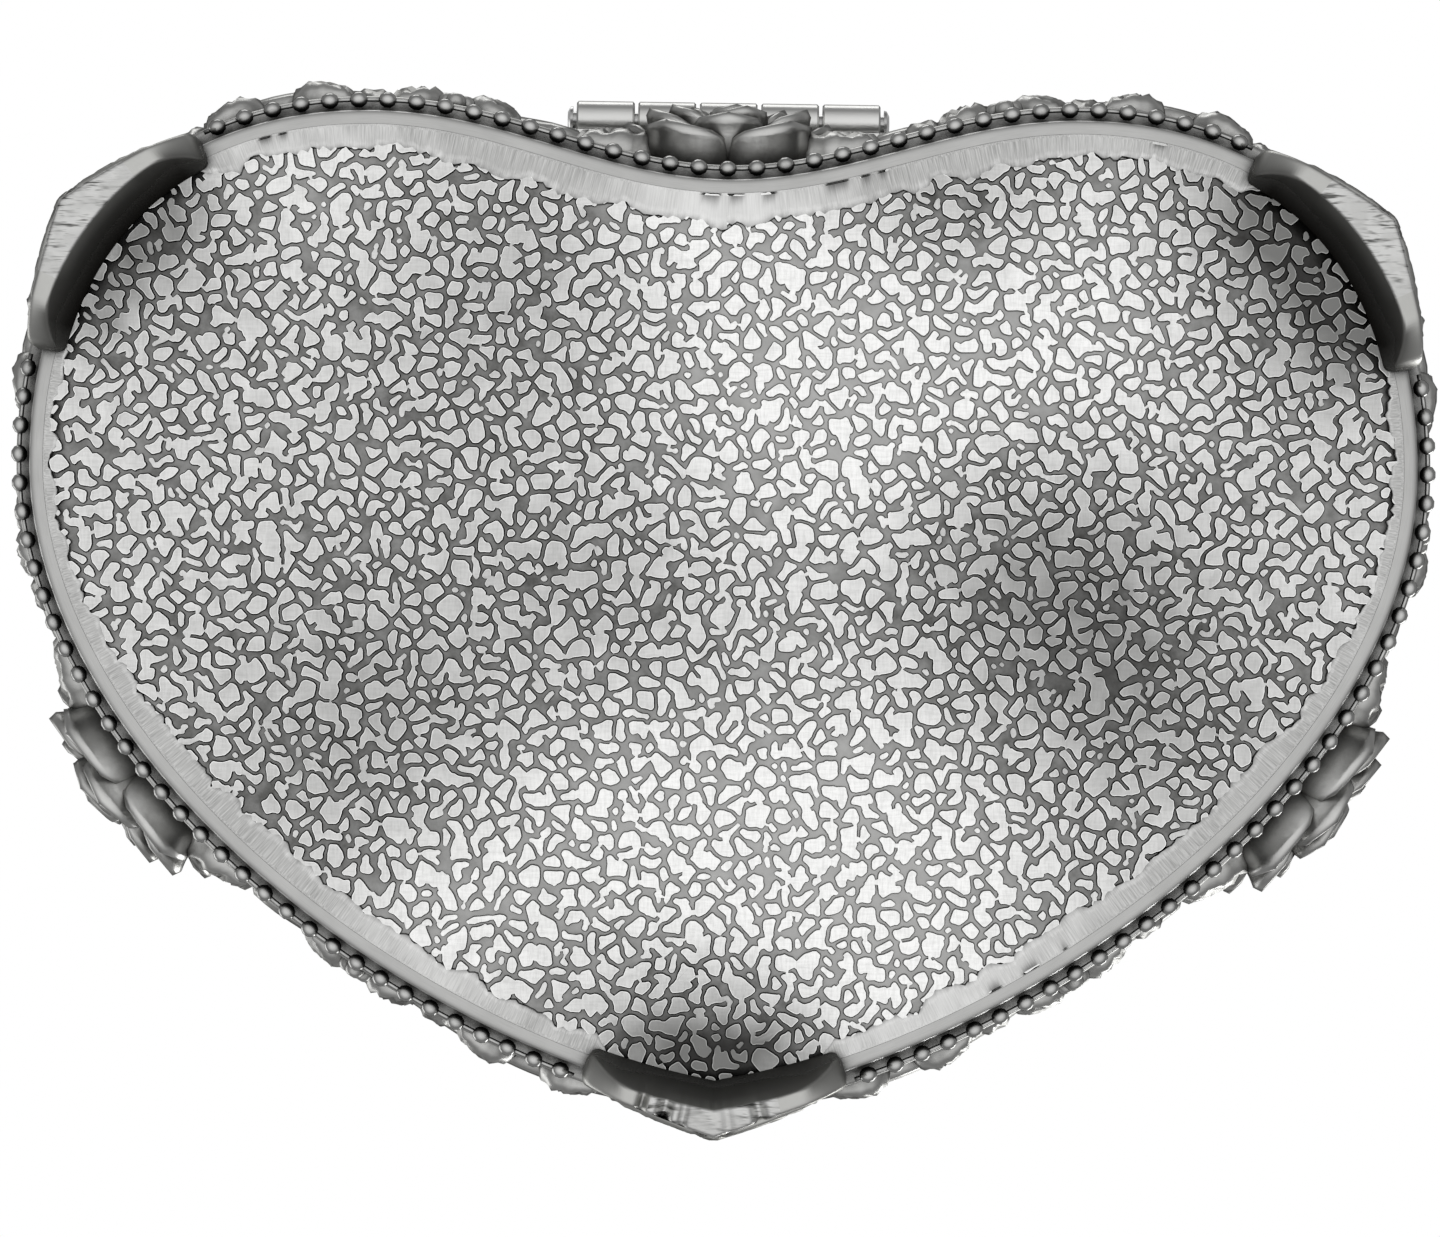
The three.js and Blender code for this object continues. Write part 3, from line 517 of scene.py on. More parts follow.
def carried(section, stations):
    """A closed section carried round the whole heart."""
    rows = len(section)

    def at(u, v):
        offset, z = section[round(v * rows) % rows]
        return place(u * perimeter, offset, z)

    return grid(stations, rows, at)


# %% Make the side wall
def wall_section():
    foot, head = 0.35 * mm, 0.75 * mm
    edge = 0.25 * mm
    return [
        (-rim_width, floor_z, 0.01 * mm),
        (-groove, floor_z, 0.55 * mm),
        (-groove, groove_top, 0.1 * mm),
        (foot, groove_top + 0.4 * mm, 0.25 * mm),
        (foot, panel_foot - 0.6 * mm, 0.35 * mm),
        (0, panel_foot - 0.1 * mm, 0.1 * mm),
        (0, panel_head + 0.1 * mm, 0.1 * mm),
        (head, panel_head + 0.9 * mm, 0.5 * mm),
        (head, panel_head + 2 * mm, 0.45 * mm),
        (edge, panel_head + 2.6 * mm, 0.15 * mm),
        (edge, wall_top, 0.15 * mm),
        (-lip_outside, wall_top, 0.1 * mm),
        (-lip_outside, lip_top, 0.15 * mm),
        (-wall_inside, lip_top, 0.15 * mm),
        (-wall_inside, plate_high.z + seam, 0.05 * mm),
        (-rim_width, plate_high.z + seam, 0.05 * mm),
    ]


def side_wall():
    bm = face_out(carried(rounded(wall_section(), 0.1 * mm), 360))
    # The bead groove and the panel's ground take the dark stippled finish: patina, and in the groove also
    # painted shade.
    for face in bm.faces:
        middle = face.calc_center_median()
        if middle.z < floor_z + 0.6 * mm or middle.z > panel_head + 0.9 * mm:
            face.material_index = 1
        elif middle.z < groove_top or panel_foot < middle.z < panel_head:
            face.material_index = 2
    return made("side_wall_cast", bm, [relief_pewter, rim_pewter, stippled_pewter])


belongs(side_wall(), "box", "antique_pewter", "side_wall")

# %% [markdown]
# ## The pebbled base plate
# The plate's underside is covered in flat-topped pebbles with thin channels between them. Most are single
# cells, some are joined to a neighbour by a neck, and some are slit. They could be drawn one by one, but a
# Voronoi pattern has such cells, so the distance to the nearest border between two cells is worked out on a
# fine grid. Waves warp it so that borders wander, and it is raised here and there so that a channel ends and
# two cells join. The line where that distance equals half a channel is each pebble's outline.

# %% Sizes of the pebbles
pebble_spacing = 1.17 * mm
row_height = 0.87 * pebble_spacing
pebble_rise = 0.24 * mm
pebble_slope = 0.09 * mm
channel_half = 0.05 * mm
channel_spread = 0.022 * mm
spread_length = 1.9 * mm
band_inner = 3 * mm
field_step = 0.06 * mm
pebble_seed = 11
off_plate = -0.1 * mm


# %% Waves: smooth random fields made from sines in random directions
def waves(x, y, length, seed, count=14):
    pick = np.random.default_rng(seed)
    total = np.zeros_like(x)
    for _ in range(count):
        way, start = pick.uniform(0, turn, 2)
        rate = turn / (length * pick.uniform(0.75, 1.35))
        total += np.sin(rate * (x * math.cos(way) + y * math.sin(way)) + start)
    return total / math.sqrt(count / 2)


# %% Warp the places, so that borders wander
warps = [(0.15 * mm, 1.8 * mm, (1, 3)), (0.025 * mm, 0.6 * mm, (2, 4))]


def warped(x, y):
    moved_x, moved_y = x, y
    for size, length, (seed_x, seed_y) in warps:
        moved_x = moved_x + size * waves(x, y, length, seed_x)
        moved_y = moved_y + size * waves(x, y, length, seed_y)
    return moved_x, moved_y


# %% [markdown]
# The cells' middles sit on a lattice, each moved by a random share of the spacing, so that no two cells are
# alike and yet none is far too large. Only the cells in the nearest rows and columns can be the nearest, so
# only those are tried.

# %% The cells
lattice = 128
most_shift = 0.46


def cells_near(x, y, shift, rows):
    """The cells near each place, one after another: their middles and their numbers."""
    row, column = np.floor(y / row_height).astype(int), np.floor(x / pebble_spacing).astype(int)
    for a in rows:
        for b in (-2, -1, 0, 1, 2):
            j, i = row + a, column + b
            middle_x = (i + 0.5 * (j % 2) + 0.25 + shift[0, j % lattice, i % lattice]) * pebble_spacing
            middle_y = (j + 0.5 + shift[1, j % lattice, i % lattice]) * row_height
            yield middle_x, middle_y, (j + lattice // 2) * lattice + i + lattice // 2


def own_cell(x, y, shift):
    """The cell that each place is in: its middle and number, and the square of the distance to its middle."""
    nearest, own = np.full(x.shape, 1.0), np.zeros(x.shape, int)
    own_x, own_y = np.zeros_like(x), np.zeros_like(x)
    for middle_x, middle_y, cell in cells_near(x, y, shift, (-1, 0, 1)):
        away = (x - middle_x) ** 2 + (y - middle_y) ** 2
        closer = away < nearest
        nearest[closer], own[closer] = away[closer], cell[closer]
        own_x[closer], own_y[closer] = middle_x[closer], middle_y[closer]
    return own_x, own_y, own, nearest


# %% Distance to the borders between cells
softness = 0.055 * mm


def nearest_border(x, y, shift, own_x, own_y, own, nearest):
    """The distance to the border, with its corners softened and as it is, and the cell across it."""
    total, border = np.full(x.shape, 1e-30), np.full(x.shape, 1.0)
    far_x, far_y, other = np.zeros_like(x), np.zeros_like(x), np.zeros(x.shape, int)
    for middle_x, middle_y, cell in cells_near(x, y, shift, (-2, -1, 0, 1, 2)):
        apart = np.hypot(middle_x - own_x, middle_y - own_y)
        away = (x - middle_x) ** 2 + (y - middle_y) ** 2
        here = np.where(cell != own, (away - nearest) / (2 * apart + 1e-12), 1.0)
        total += np.exp(-here / softness)
        closer = here < border
        border[closer], other[closer] = here[closer], cell[closer]
        far_x[closer], far_y[closer] = middle_x[closer], middle_y[closer]
    return -softness * np.log(total), border, far_x, far_y, other


# %% Necks between neighbours
neck_share = 0.26
most_joined = 3
neck_shifts = (-0.2, 0.2)
neck_widths = (0.24, 0.36)
neck_depth = 0.25 * mm


def joined_pairs(pairs, pick):
    """Chooses which neighbours share a neck, where on their border it is, and how wide."""
    group = {}

    def root(cell):
        while group.get(cell, (cell, 1))[0] != cell:
            cell = group[cell][0]
        return cell

    at, wide = np.zeros(len(pairs)), np.full(len(pairs), -1.0)
    for k in pick.permutation(len(pairs)):
        a, b = root(pairs[k] // 2**15), root(pairs[k] % 2**15)
        size = group.get(a, (a, 1))[1] + group.get(b, (b, 1))[1]
        if a != b and size <= most_joined and pick.random() < neck_share:
            group[a], group[b] = (b, 0), (b, size)
            at[k] = pick.uniform(*neck_shifts) * mm
            wide[k] = pick.uniform(*neck_widths) * mm
    return at, wide


def neck_field(x, y, own_x, own_y, own, far_x, far_y, other, pick):
    """Rises above half a channel where two cells share a neck, by how far each place is inside the neck."""
    way = np.where(own < other, 1, -1)
    span_x, span_y = way * (far_x - own_x), way * (far_y - own_y)
    apart = np.hypot(span_x, span_y) + 1e-12
    along = ((y - (own_y + far_y) / 2) * span_x - (x - (own_x + far_x) / 2) * span_y) / apart
    pairs, which = np.unique(np.minimum(own, other) * 2**15 + np.maximum(own, other), return_inverse=True)
    at, wide = joined_pairs(pairs, pick)
    return wide[which] - np.abs(along - at[which]) + channel_half


# %% Slits
slit_share = 0.1
slit_half = 0.03 * mm


def slit_field(x, y, own_x, own_y, own, pick):
    """Half a channel at a slit, which runs from a cell's middle to its border, and high elsewhere."""
    cells, which = np.unique(own, return_inverse=True)
    way = pick.uniform(0, turn, len(cells))[which]
    is_slit = (pick.random(len(cells)) < slit_share)[which]
    ahead = (x - own_x) * np.cos(way) + (y - own_y) * np.sin(way)
    beside = np.abs((y - own_y) * np.cos(way) - (x - own_x) * np.sin(way))
    return np.where(is_slit, np.maximum(beside, -ahead) - slit_half + channel_half, 1)


# %% [markdown]
# Necks and slits leave sharp corners, which polishing would have worn off. On a grid of numbers that is
# easy: each place first takes the least value within a small circle, and then the largest. Narrow spikes are
# gone after the first step, and what is left grows back to its old edge in the second.

# %% Round and smooth the field
rounding = 0.2 * mm


def rounded_off(field):
    """Lowers the field to its least value within the rounding, then raises it to its largest again."""
    reach = math.ceil(rounding / field_step)
    shifts = [(a, b) for a in range(-reach, reach + 1) for b in range(-reach, reach + 1)]
    shifts = [shift for shift in shifts if math.hypot(*shift) * field_step <= rounding]
    for choose in (np.minimum, np.maximum):
        result = field
        for shift in shifts:
            result = choose(result, np.roll(field, shift, (0, 1)))
        field = result
    return field


def smoothed(field):
    """Each place takes half of its own value and half of its four neighbours' mean."""
    result = field.copy()
    around = field[:-2, 1:-1] + field[2:, 1:-1] + field[1:-1, :-2] + field[1:-1, 2:]
    result[1:-1, 1:-1] = (4 * field[1:-1, 1:-1] + around) / 8
    return result


# %% The field on a grid over the plate
def plate_grid():
    """The grid's columns and rows, its places, and which of these are on the plate."""
    half_x, half_y = half_width - rim_width, back_y - rim_width
    xs = np.arange(-half_x, half_x, field_step)
    ys = np.arange(-half_y, half_y, field_step)
    x, y = np.meshgrid(xs, ys)
    angles, reaches = np.arctan2(heart[:, 1], heart[:, 0]), np.hypot(heart[:, 0], heart[:, 1])
    edge = np.interp(np.arctan2(y, x), angles, reaches, period=turn)
    return xs, ys, x, y, np.hypot(x, y) < edge - rim_width


def cell_field():
    """A grid of distances to the nearest channel's middle, in metres."""
    xs, ys, grid_x, grid_y, inside = plate_grid()
    flat = grid_x[inside], grid_y[inside]
    places = warped(*flat)
    pick = np.random.default_rng(pebble_seed)
    shift = pick.uniform(-most_shift, most_shift, (2, lattice, lattice))
    own_x, own_y, own, nearest = own_cell(*places, shift)
    distance, border, far_x, far_y, other = nearest_border(*places, shift, own_x, own_y, own, nearest)
    neck = neck_field(*places, own_x, own_y, own, far_x, far_y, other, pick)
    distance = np.maximum(distance, np.where(border < neck_depth, neck, -1))
    distance = np.minimum(distance, slit_field(*places, own_x, own_y, own, pick))
    distance -= channel_spread * np.clip(waves(*flat, spread_length, 5), 0, 2)
    field = np.full(grid_x.shape, off_plate)
    field[inside] = distance
    # The waves stretch and squeeze the field, so it is divided by its own steepness.
    steep = np.hypot(*np.gradient(field, field_step))
    field = np.where(field > 0, field / np.clip(smoothed(steep), 0.75, 1.9), field)
    field = smoothed(rounded_off(field))
    field[[0, -1], :] = field[:, [0, -1]] = off_plate
    return xs, ys, field


# %% Follow the outlines through the grid
def outlines(xs, ys, field, level):
    """Closed lines where the field equals level, each with the higher side on its left."""
    inside = field > level
    follow = {}
    count = inside[:-1, :-1].astype(int) + inside[:-1, 1:] + inside[1:, :-1] + inside[1:, 1:]
    for j, i in zip(*(index.tolist() for index in np.nonzero((count > 0) & (count < 4)))):
        full = [inside[j, i], inside[j, i + 1], inside[j + 1, i + 1], inside[j + 1, i]]
        sides = [(0, j, i), (1, j, i + 1), (0, j + 1, i), (1, j, i)]
        for k in range(4):
            if full[k] and not full[(k + 1) % 4]:
                back = next(m for m in (1, 2, 3) if full[(k - m + 1) % 4] and not full[(k - m) % 4])
                follow[sides[k]] = sides[(k - back) % 4]

    def point(side):
        upright, j, i = side
        jj, ii = (j + 1, i) if upright else (j, i + 1)
        t = (level - field[j, i]) / (field[jj, ii] - field[j, i])
        return xs[i] + (xs[ii] - xs[i]) * t, ys[j] + (ys[jj] - ys[j]) * t

    found = []
    while follow:
        start, here = follow.popitem()
        walk = [point(start)]
        while here != start:
            walk.append(point(here))
            here = follow.pop(here)
        found.append(np.array(walk))
    return found


# %% Thin an outline to the points that its shape needs
def thinned(walk, spacing, flat_turn):
    """Evenly spaced points, less those where the line hardly turns."""
    closed = np.vstack([walk, walk[:1]])
    run = np.concatenate([[0], np.cumsum(np.hypot(*np.diff(closed, axis=0).T))])
    count = max(7, round(run[-1] / spacing))
    at = np.linspace(0, run[-1], count, endpoint=False)
    even = np.column_stack([np.interp(at, run, closed[:, k]) for k in (0, 1)])
    into, out = even - np.roll(even, 1, axis=0), np.roll(even, -1, axis=0) - even
    bend = np.abs(np.arctan2(into[:, 0] * out[:, 1] - into[:, 1] * out[:, 0], (into * out).sum(axis=1)))
    kept = []
    for i in range(count):
        if bend[i] > flat_turn or not kept or kept[-1] != i - 1:
            kept.append(i)
    return even[kept]


def area(points):
    x, y = points.T
    return 0.5 * float(np.sum(x * np.roll(y, -1) - y * np.roll(x, -1)))


def depth_inside(points):
    """How far inside the heart line each point lies."""
    sample = heart[::4]
    gap = np.hypot(points[:, None, 0] - sample[None, :, 0], points[:, None, 1] - sample[None, :, 1])
    nearest = gap.argmin(axis=1)
    nx, ny = outward(lengths[::4][nearest])
    away = points - sample[nearest]
    return -(away[:, 0] * nx + away[:, 1] * ny)


# %% [markdown]
# The plate isn't quite flat. It cooled with slow swells in it, and these are what make broad bright and dark
# patches on the underside, because each part mirrors another part of the room.

# %% The plate's swell
swell_height = 0.16 * mm
swell_fade = 5 * mm


def swell(x, y):
    x, y = np.ravel(np.asarray(x, float)), np.ravel(np.asarray(y, float))
    broad = np.sin(x / (7.5 * mm) + 0.9) * np.cos(y / (8.5 * mm) - 0.4)
    cross = np.sin((x + 0.8 * y) / (5.6 * mm) + 2.1)
    fade = np.clip((depth_inside(np.column_stack([x, y])) - band_inner) / swell_fade, 0, 1)
    return swell_height * (broad + 0.6 * cross) * fade**2


# %% [markdown]
# The underside was polished by hand, not quite evenly, which a faint wave of tone shows. Its broad bright and
# dark spots are painted reflections of the room, and the dark beside the feet is painted shade together with
# the patina left where the wheel couldn't reach. So each corner of the plate, the pebbles and the ground band
# carries one number for all of this, from 0 to 1, and the finishes below read it as an attribute.

# %% How polished the plate is, with its painted reflections and painted shade
foot_length = 17.4 * mm
side_foot = 42.7 * mm
foot_middles = (side_foot, perimeter / 2, perimeter - side_foot)
beside_foot = (-6, -3, 0, 3, 6)
beside_foot_inside = 3.3 * mm
beside_foot_reach = 2.3 * mm
beside_foot_patina_and_shade = 0.25
worn_level = 0.62
# Each spot is x, y and reach in millimetres, and how much lighter or darker it is painted: a painted
# reflection.
painted_reflection_spots = [
    (-6, 14, 11, 0.42), (-22, 17, 11, 0.3), (-8, -17, 12, 0.46), (7, -13, 8, 0.25), (28, 27, 9, 0.2),
    (2, 26, 6, 0.25), (17, -19, 6, 0.25), (14, 19, 9, -0.2), (-14, 26, 6, -0.34), (-20, 3, 9, -0.46),
    (-26, -6, 8, -0.28), (22, -7, 9, -0.26), (7, 1, 8, -0.2), (34, 22, 6, -0.25), (-37, 20, 7, -0.5),
    (-32, 27, 5, -0.35), (0, -27, 6, -0.5),
]


def spot_on(points, x, y, reach):
    """1 in the middle of a round spot, fading to 0 past its reach."""
    away = np.hypot(points[:, 0] - x, points[:, 1] - y) / reach
    return np.exp(-(away**2))


def paint_wear_and_light(points):
    wear_and_painted_light = np.full(len(points), worn_level)
    # Painted shade beside the feet, with the patina there: darker spots along each foot's inner side.
    for middle in foot_middles:
        for shift in beside_foot:
            spot = place(middle + shift * mm, -beside_foot_inside, 0)
            wear_and_painted_light -= beside_foot_patina_and_shade * spot_on(points, spot.x, spot.y, beside_foot_reach)
    # Painted reflections of the room: spots painted lighter and darker.
    for x, y, reach, more in painted_reflection_spots:
        wear_and_painted_light += more * spot_on(points, x * mm, y * mm, reach * mm)
    return np.clip(wear_and_painted_light + 0.035 * waves(points[:, 0], points[:, 1], 2.4 * mm, 8), 0, 1)


def mark(piece, name, levels):
    """Stores a number at each corner of a piece, for its finish to read."""
    attribute = piece.data.attributes.new(name, "FLOAT", "POINT")
    attribute.data.foreach_set("value", levels.astype(np.float32))
    print(piece.name, name, "from", round(float(levels.min()), 2), "to", round(float(levels.max()), 2))


def mark_wear_and_light(piece):
    places = np.empty(3 * len(piece.data.vertices), dtype=np.float32)
    piece.data.vertices.foreach_get("co", places)
    mark(piece, "wear_and_painted_light", paint_wear_and_light(places.reshape(-1, 3).astype(float)))


# %% Pebble finishes
pebble_bright_tone = (1, 1, 0.99)


def pebble_top():
    finish, tree, surface = new_finish("pebble_top")
    at = object_place(tree)
    scuffs = speckle(tree, at, 1, 4, 0.75, stretch=(700, 5200, 1), turned=0.1)
    cross = speckle(tree, at, 1, 3, 0.7, stretch=(6400, 900, 1), turned=0.25)
    both = times(tree, scuffs, cross)
    # The top's tone follows the plate's number: painted reflections and painted shade, with the polishing.
    tone = ramp(tree, marked(tree, "wear_and_painted_light"), 0, 0.92, (0.2, 0.2, 0.195), pebble_bright_tone)
    plug(tree, surface.inputs, {
        "Base Color": mixed(tree, span(tree, both, 0.1, 0.3, 0.25, 0), tone, (0.25, 0.25, 0.245)),
        "Metallic": 1,
        "Roughness": span(tree, both, 0.1, 0.4, 0.42, 0.26),
        "Normal": bumped(tree, both, 0.012 * mm),
    })
    return finish


def burnished_and_highlit_edge():
    finish, tree, surface = new_finish("pebble_edge")
    # Lighter than the top at the same number: a painted highlight along the edge, with the burnish.
    tone = ramp(tree, marked(tree, "wear_and_painted_light"), 0, 0.5, (0.45, 0.45, 0.44), pebble_bright_tone)
    plug(tree, surface.inputs, {"Base Color": tone, "Metallic": 1, "Roughness": 0.25})
    return finish


def channel(name, dark, light):
    """The ground between pebbles: darker and lighter with the plate's number, which holds painted shade and
    painted reflections as well as the polishing.
    """
    finish, tree, surface = new_finish(name)
    at, wear_and_painted_light = object_place(tree), marked(tree, "wear_and_painted_light")
    dull = ramp(tree, speckle(tree, at, 900), 0.3, 0.7, dark, light)
    dull = mixed(tree, span(tree, wear_and_painted_light, 0, 0.5, 0.85, 0), dull, (0.02, 0.019, 0.018))
    plug(tree, surface.inputs, {
        "Base Color": mixed(tree, span(tree, wear_and_painted_light, 0.55, 1, 0, 0.6), dull, (0.7, 0.7, 0.69)),
        "Metallic": 1,
        "Roughness": 0.5,
        "Normal": bumped(tree, speckle(tree, at, 2500), 0.02 * mm),
    })
    return finish


pebble_bright = pebble_top()
pebble_edge = burnished_and_highlit_edge()
# The pebbles' sloping sides are painted near black, darker than the channels: painted shade on the slopes,
# with their patina.
pebble_side = channel("pebble_side", (0.01, 0.01, 0.009), (0.05, 0.05, 0.048))
channel_grey = channel("channel_grey", (0.13, 0.13, 0.125), (0.32, 0.32, 0.315))
pebble_finishes = [pebble_bright, pebble_side, pebble_edge]
side_index, edge_index = 1, 2

# %% [markdown]
# Each outline becomes one face that looks down. Inset Individual gives it a second edge, whose corners then
# climb the same field of distances for the width of the slope and drop by its height. Corners that climb a
# field can't cross one another, as evenly offset ones would where a pebble is narrow. A second inset makes a
# narrow rim round the flat top, which polishing has made bright; its colour is lighter than the top's, a
# painted highlight. A reversed copy of each outline closes its pebble inside the plate.

# %% Draw the outlines in
smallest_pebble = 0.07 * mm * mm
shallowest_pebble = 1.9 * mm
outline_spacing = 0.15 * mm
outline_flat_turn = 0.2
worn_edge = 0.04 * mm
worn_edge_drop = 0.003 * mm
sunk_in_plate = 0.03 * mm


def drawn_in(points, xs, ys, field, width, steps=4):
    """Moves points up the field by a width."""
    inner = points.copy()
    for _ in range(steps):
        i = (inner[:, 0] - xs[0]) / field_step
        j = (inner[:, 1] - ys[0]) / field_step
        i0 = np.clip(i.astype(int), 0, len(xs) - 2)
        j0 = np.clip(j.astype(int), 0, len(ys) - 2)
        fi, fj = i - i0, j - j0
        a, b, c, d = field[j0, i0], field[j0, i0 + 1], field[j0 + 1, i0], field[j0 + 1, i0 + 1]
        slope_x = ((b - a) * (1 - fj) + (d - c) * fj) / field_step
        slope_y = ((c - a) * (1 - fi) + (d - b) * fi) / field_step
        steepness = np.maximum(np.hypot(slope_x, slope_y), 0.5)
        inner += width / steps * np.column_stack([slope_x, slope_y]) / steepness[:, None]
    return inner


def pebble_outlines():
    """Each pebble's middle and its three outlines: at its foot, at its shoulder and round its flat top."""
    xs, ys, field = cell_field()
    kept = []
    for walk in outlines(xs, ys, field, channel_half):
        if len(walk) < 8:
            continue
        foot = thinned(walk, outline_spacing, outline_flat_turn)[::-1]
        middle = foot.mean(axis=0)
        if -area(foot) < smallest_pebble or depth_inside(middle[None])[0] < shallowest_pebble:
            continue
        shoulder = drawn_in(foot, xs, ys, field, pebble_slope)
        kept.append((middle[0], foot, shoulder, drawn_in(shoulder, xs, ys, field, worn_edge)))
    print("pebbles:", len(kept))
    return kept


# %% Make the pebbles
def pebbles(name, shapes):
    bm = bmesh.new()
    for _, foot, _, _ in shapes:
        z = floor_z + pebble_rise + sunk_in_plate + swell(foot[:, 0], foot[:, 1])
        bm.faces.new([bm.verts.new((px, py, pz)) for (px, py), pz in zip(foot, z)])
    tops = list(bm.faces)
    doubled = bmesh.ops.duplicate(bm, geom=tops)["geom"]
    bases = [g for g in doubled if isinstance(g, bmesh.types.BMFace)]
    bmesh.ops.reverse_faces(bm, faces=bases)
    for ring, finish, drop in ((2, side_index, pebble_rise), (3, edge_index, worn_edge_drop)):
        drawn = bmesh.ops.inset_individual(bm, faces=tops, thickness=0, depth=0)["faces"]
        for face in drawn:
            face.material_index = finish
        for face, shape in zip(tops, shapes):
            for corner, (px, py) in zip(face.verts, shape[ring]):
                corner.co = (px, py, corner.co.z - drop)
    for face in bases:
        face.material_index = side_index
    bmesh.ops.remove_doubles(bm, verts=bm.verts, dist=1e-8)
    piece = made(name, bm, pebble_finishes, smooth=False)
    mark_wear_and_light(piece)
    belongs(piece, "box", "ground_pewter")


shapes = pebble_outlines()
pebbles("base_pebbles_right", [shape for shape in shapes if shape[0] >= 0])
pebbles("base_pebbles_left", [shape for shape in shapes if shape[0] < 0])

# %% [markdown]
# The plate itself is one grid: rings that run from its edge to the middle, closer together near the edge,
# where it rises into its swells. Its edge is extruded up to the height of the solid plate and closed there.

# %% Make the plate
plate_edge = rim_width + seam
plate_rings = [0, 0.035, 0.08, 0.14, 0.2, 0.28, 0.36, 0.44, 0.52, 0.6, 0.68, 0.76, 0.84, 0.92, 0.999]
plate_columns = 240


def depth_of(edge):
    middle = (edge.verts[0].co + edge.verts[1].co) / 2
    return depth_inside(np.array([[middle.x, middle.y]]))[0]


def plate():
    rows = len(plate_rings) - 1

    def under(u, v):
        pull = plate_rings[round(v * rows)]
        edge = place(u * perimeter, -plate_edge, 0)
        x, y = edge.x * (1 - pull), edge.y * (1 - pull)
        return Vector((x, y, floor_z + pebble_rise + float(swell([x], [y])[0])))

    bm = grid(plate_columns, rows, under)
    rim = [edge for edge in bm.edges if edge.is_boundary and depth_of(edge) < 2 * plate_edge]
    raised = bmesh.ops.extrude_edge_only(bm, edges=rim)["geom"]
    for corner in raised:
        if isinstance(corner, bmesh.types.BMVert):
            corner.co.z = plate_high.z
    bmesh.ops.holes_fill(bm, edges=bm.edges)
    return made("base_plate_cast", face_out(bm), channel_grey)


cast_plate = plate()
mark_wear_and_light(cast_plate)
belongs(cast_plate, "box", "ground_pewter", "base_plate")

# %% [markdown]
# The plate's edge was ground flush with the rim after it was soldered in. The grinder took the pebbles off
# in a band of uneven width, widest at the notch and the lobes, and left scratches square to the edge. It
# stopped at the feet. The solder fills the seam between plate and rim, apart from a few stretches where it
# didn't run and left voids. The band is one section carried round the heart, whose width and whose depth at
# the seam change on the way.

# %% Sizes of the ground band, in millimetres along the line
band_widths = [
    (0, 1.7), (20, 1.35), (33, 1.0), (52, 0.35), (66, 0.5), (80, 1.2), (100, 1.35), (113, 0.9), (122, 0.6),
]
half_way = perimeter / mm / 2
void_stretches = [(-3, 3.2), (-9.7, -4.8), (-31, -27), (27.5, 31), (half_way + 18, half_way + 25)]
void_bottom = 0.2 * mm
least_band = 0.12 * mm
hidden_by_foot = (-1.4 * mm, -0.2 * mm)


def along_line(s, length, seed):
    return waves(np.array([s]), np.array([0.0]), length, seed)[0]


def band_width(s):
    near = min(s, perimeter - s) / mm
    broad = np.interp(near, *zip(*band_widths)) * mm
    broad += 0.16 * mm * along_line(s, 3.2 * mm, 21) + 0.09 * mm * along_line(s, 0.9 * mm, 22)
    past_end = min(abs(s - middle) for middle in foot_middles) - foot_length / 2
    return max(least_band, broad * float(np.interp(past_end, hidden_by_foot, (0, 1))))


def void_depth(s):
    """How deep the seam's solder lies below the rim."""
    at = s / mm if s < perimeter / 2 + 40 * mm else (s - perimeter) / mm
    at_void = any(low < at < high for low, high in void_stretches)
    return void_bottom if at_void and along_line(s, 1.3 * mm, 23) > 0.1 else 0


# %% Make the ground band
def band_section(s):
    """Offsets and depths below the rim, from the seam's outer edge to where the pebbles begin."""
    outer, inner = -rim_width - 0.004 * mm, -plate_edge - band_width(s)
    return [
        (outer, pebble_rise),
        (outer, 0),
        (outer - 0.03 * mm, 0),
        (-rim_width - 0.06 * mm, void_depth(s)),
        (-plate_edge + 0.05 * mm, void_depth(s)),
        (-plate_edge, 0),
        (0.4 * -plate_edge + 0.6 * inner, 0),
        (inner, 0.015 * mm),
        (inner - 1.2 * pebble_slope, pebble_rise),
    ]


def band():
    sections = {}

    def at(u, v):
        if u not in sections:
            sections[u] = band_section(u * perimeter)
        offset, sunk = sections[u][round(v * 9) % 9]
        return place(u * perimeter, offset, floor_z + sunk)

    piece = made("ground_band", face_out(grid(900, 9, at)), ground_pewter)
    mark_wear_and_light(piece)
    return piece


belongs(band(), "box", "ground_pewter")

# %% [markdown]
# ## The beads
# The beaded wire is a row of balls on a thin core. Each ball is a small sphere turned to follow the line and
# a little longer than wide. Because there are hundreds, each has only a few dozen faces.

# %% Make the bead rows
bead_stretch = 1.12
wire_share = 0.27


def ball(s, radius, offset, z):
    bm = bmesh.new()
    bmesh.ops.create_uvsphere(bm, u_segments=10, v_segments=7, radius=1)
    nx, ny = facing(s)
    stretched = Matrix.Diagonal((radius, radius * bead_stretch, radius, 1))
    turned = Matrix.Rotation(math.atan2(ny, nx), 4, "Z")
    seat = Matrix.Translation(place(s, offset, z)) @ turned @ stretched
    bmesh.ops.transform(bm, matrix=seat, verts=bm.verts)
    return bm


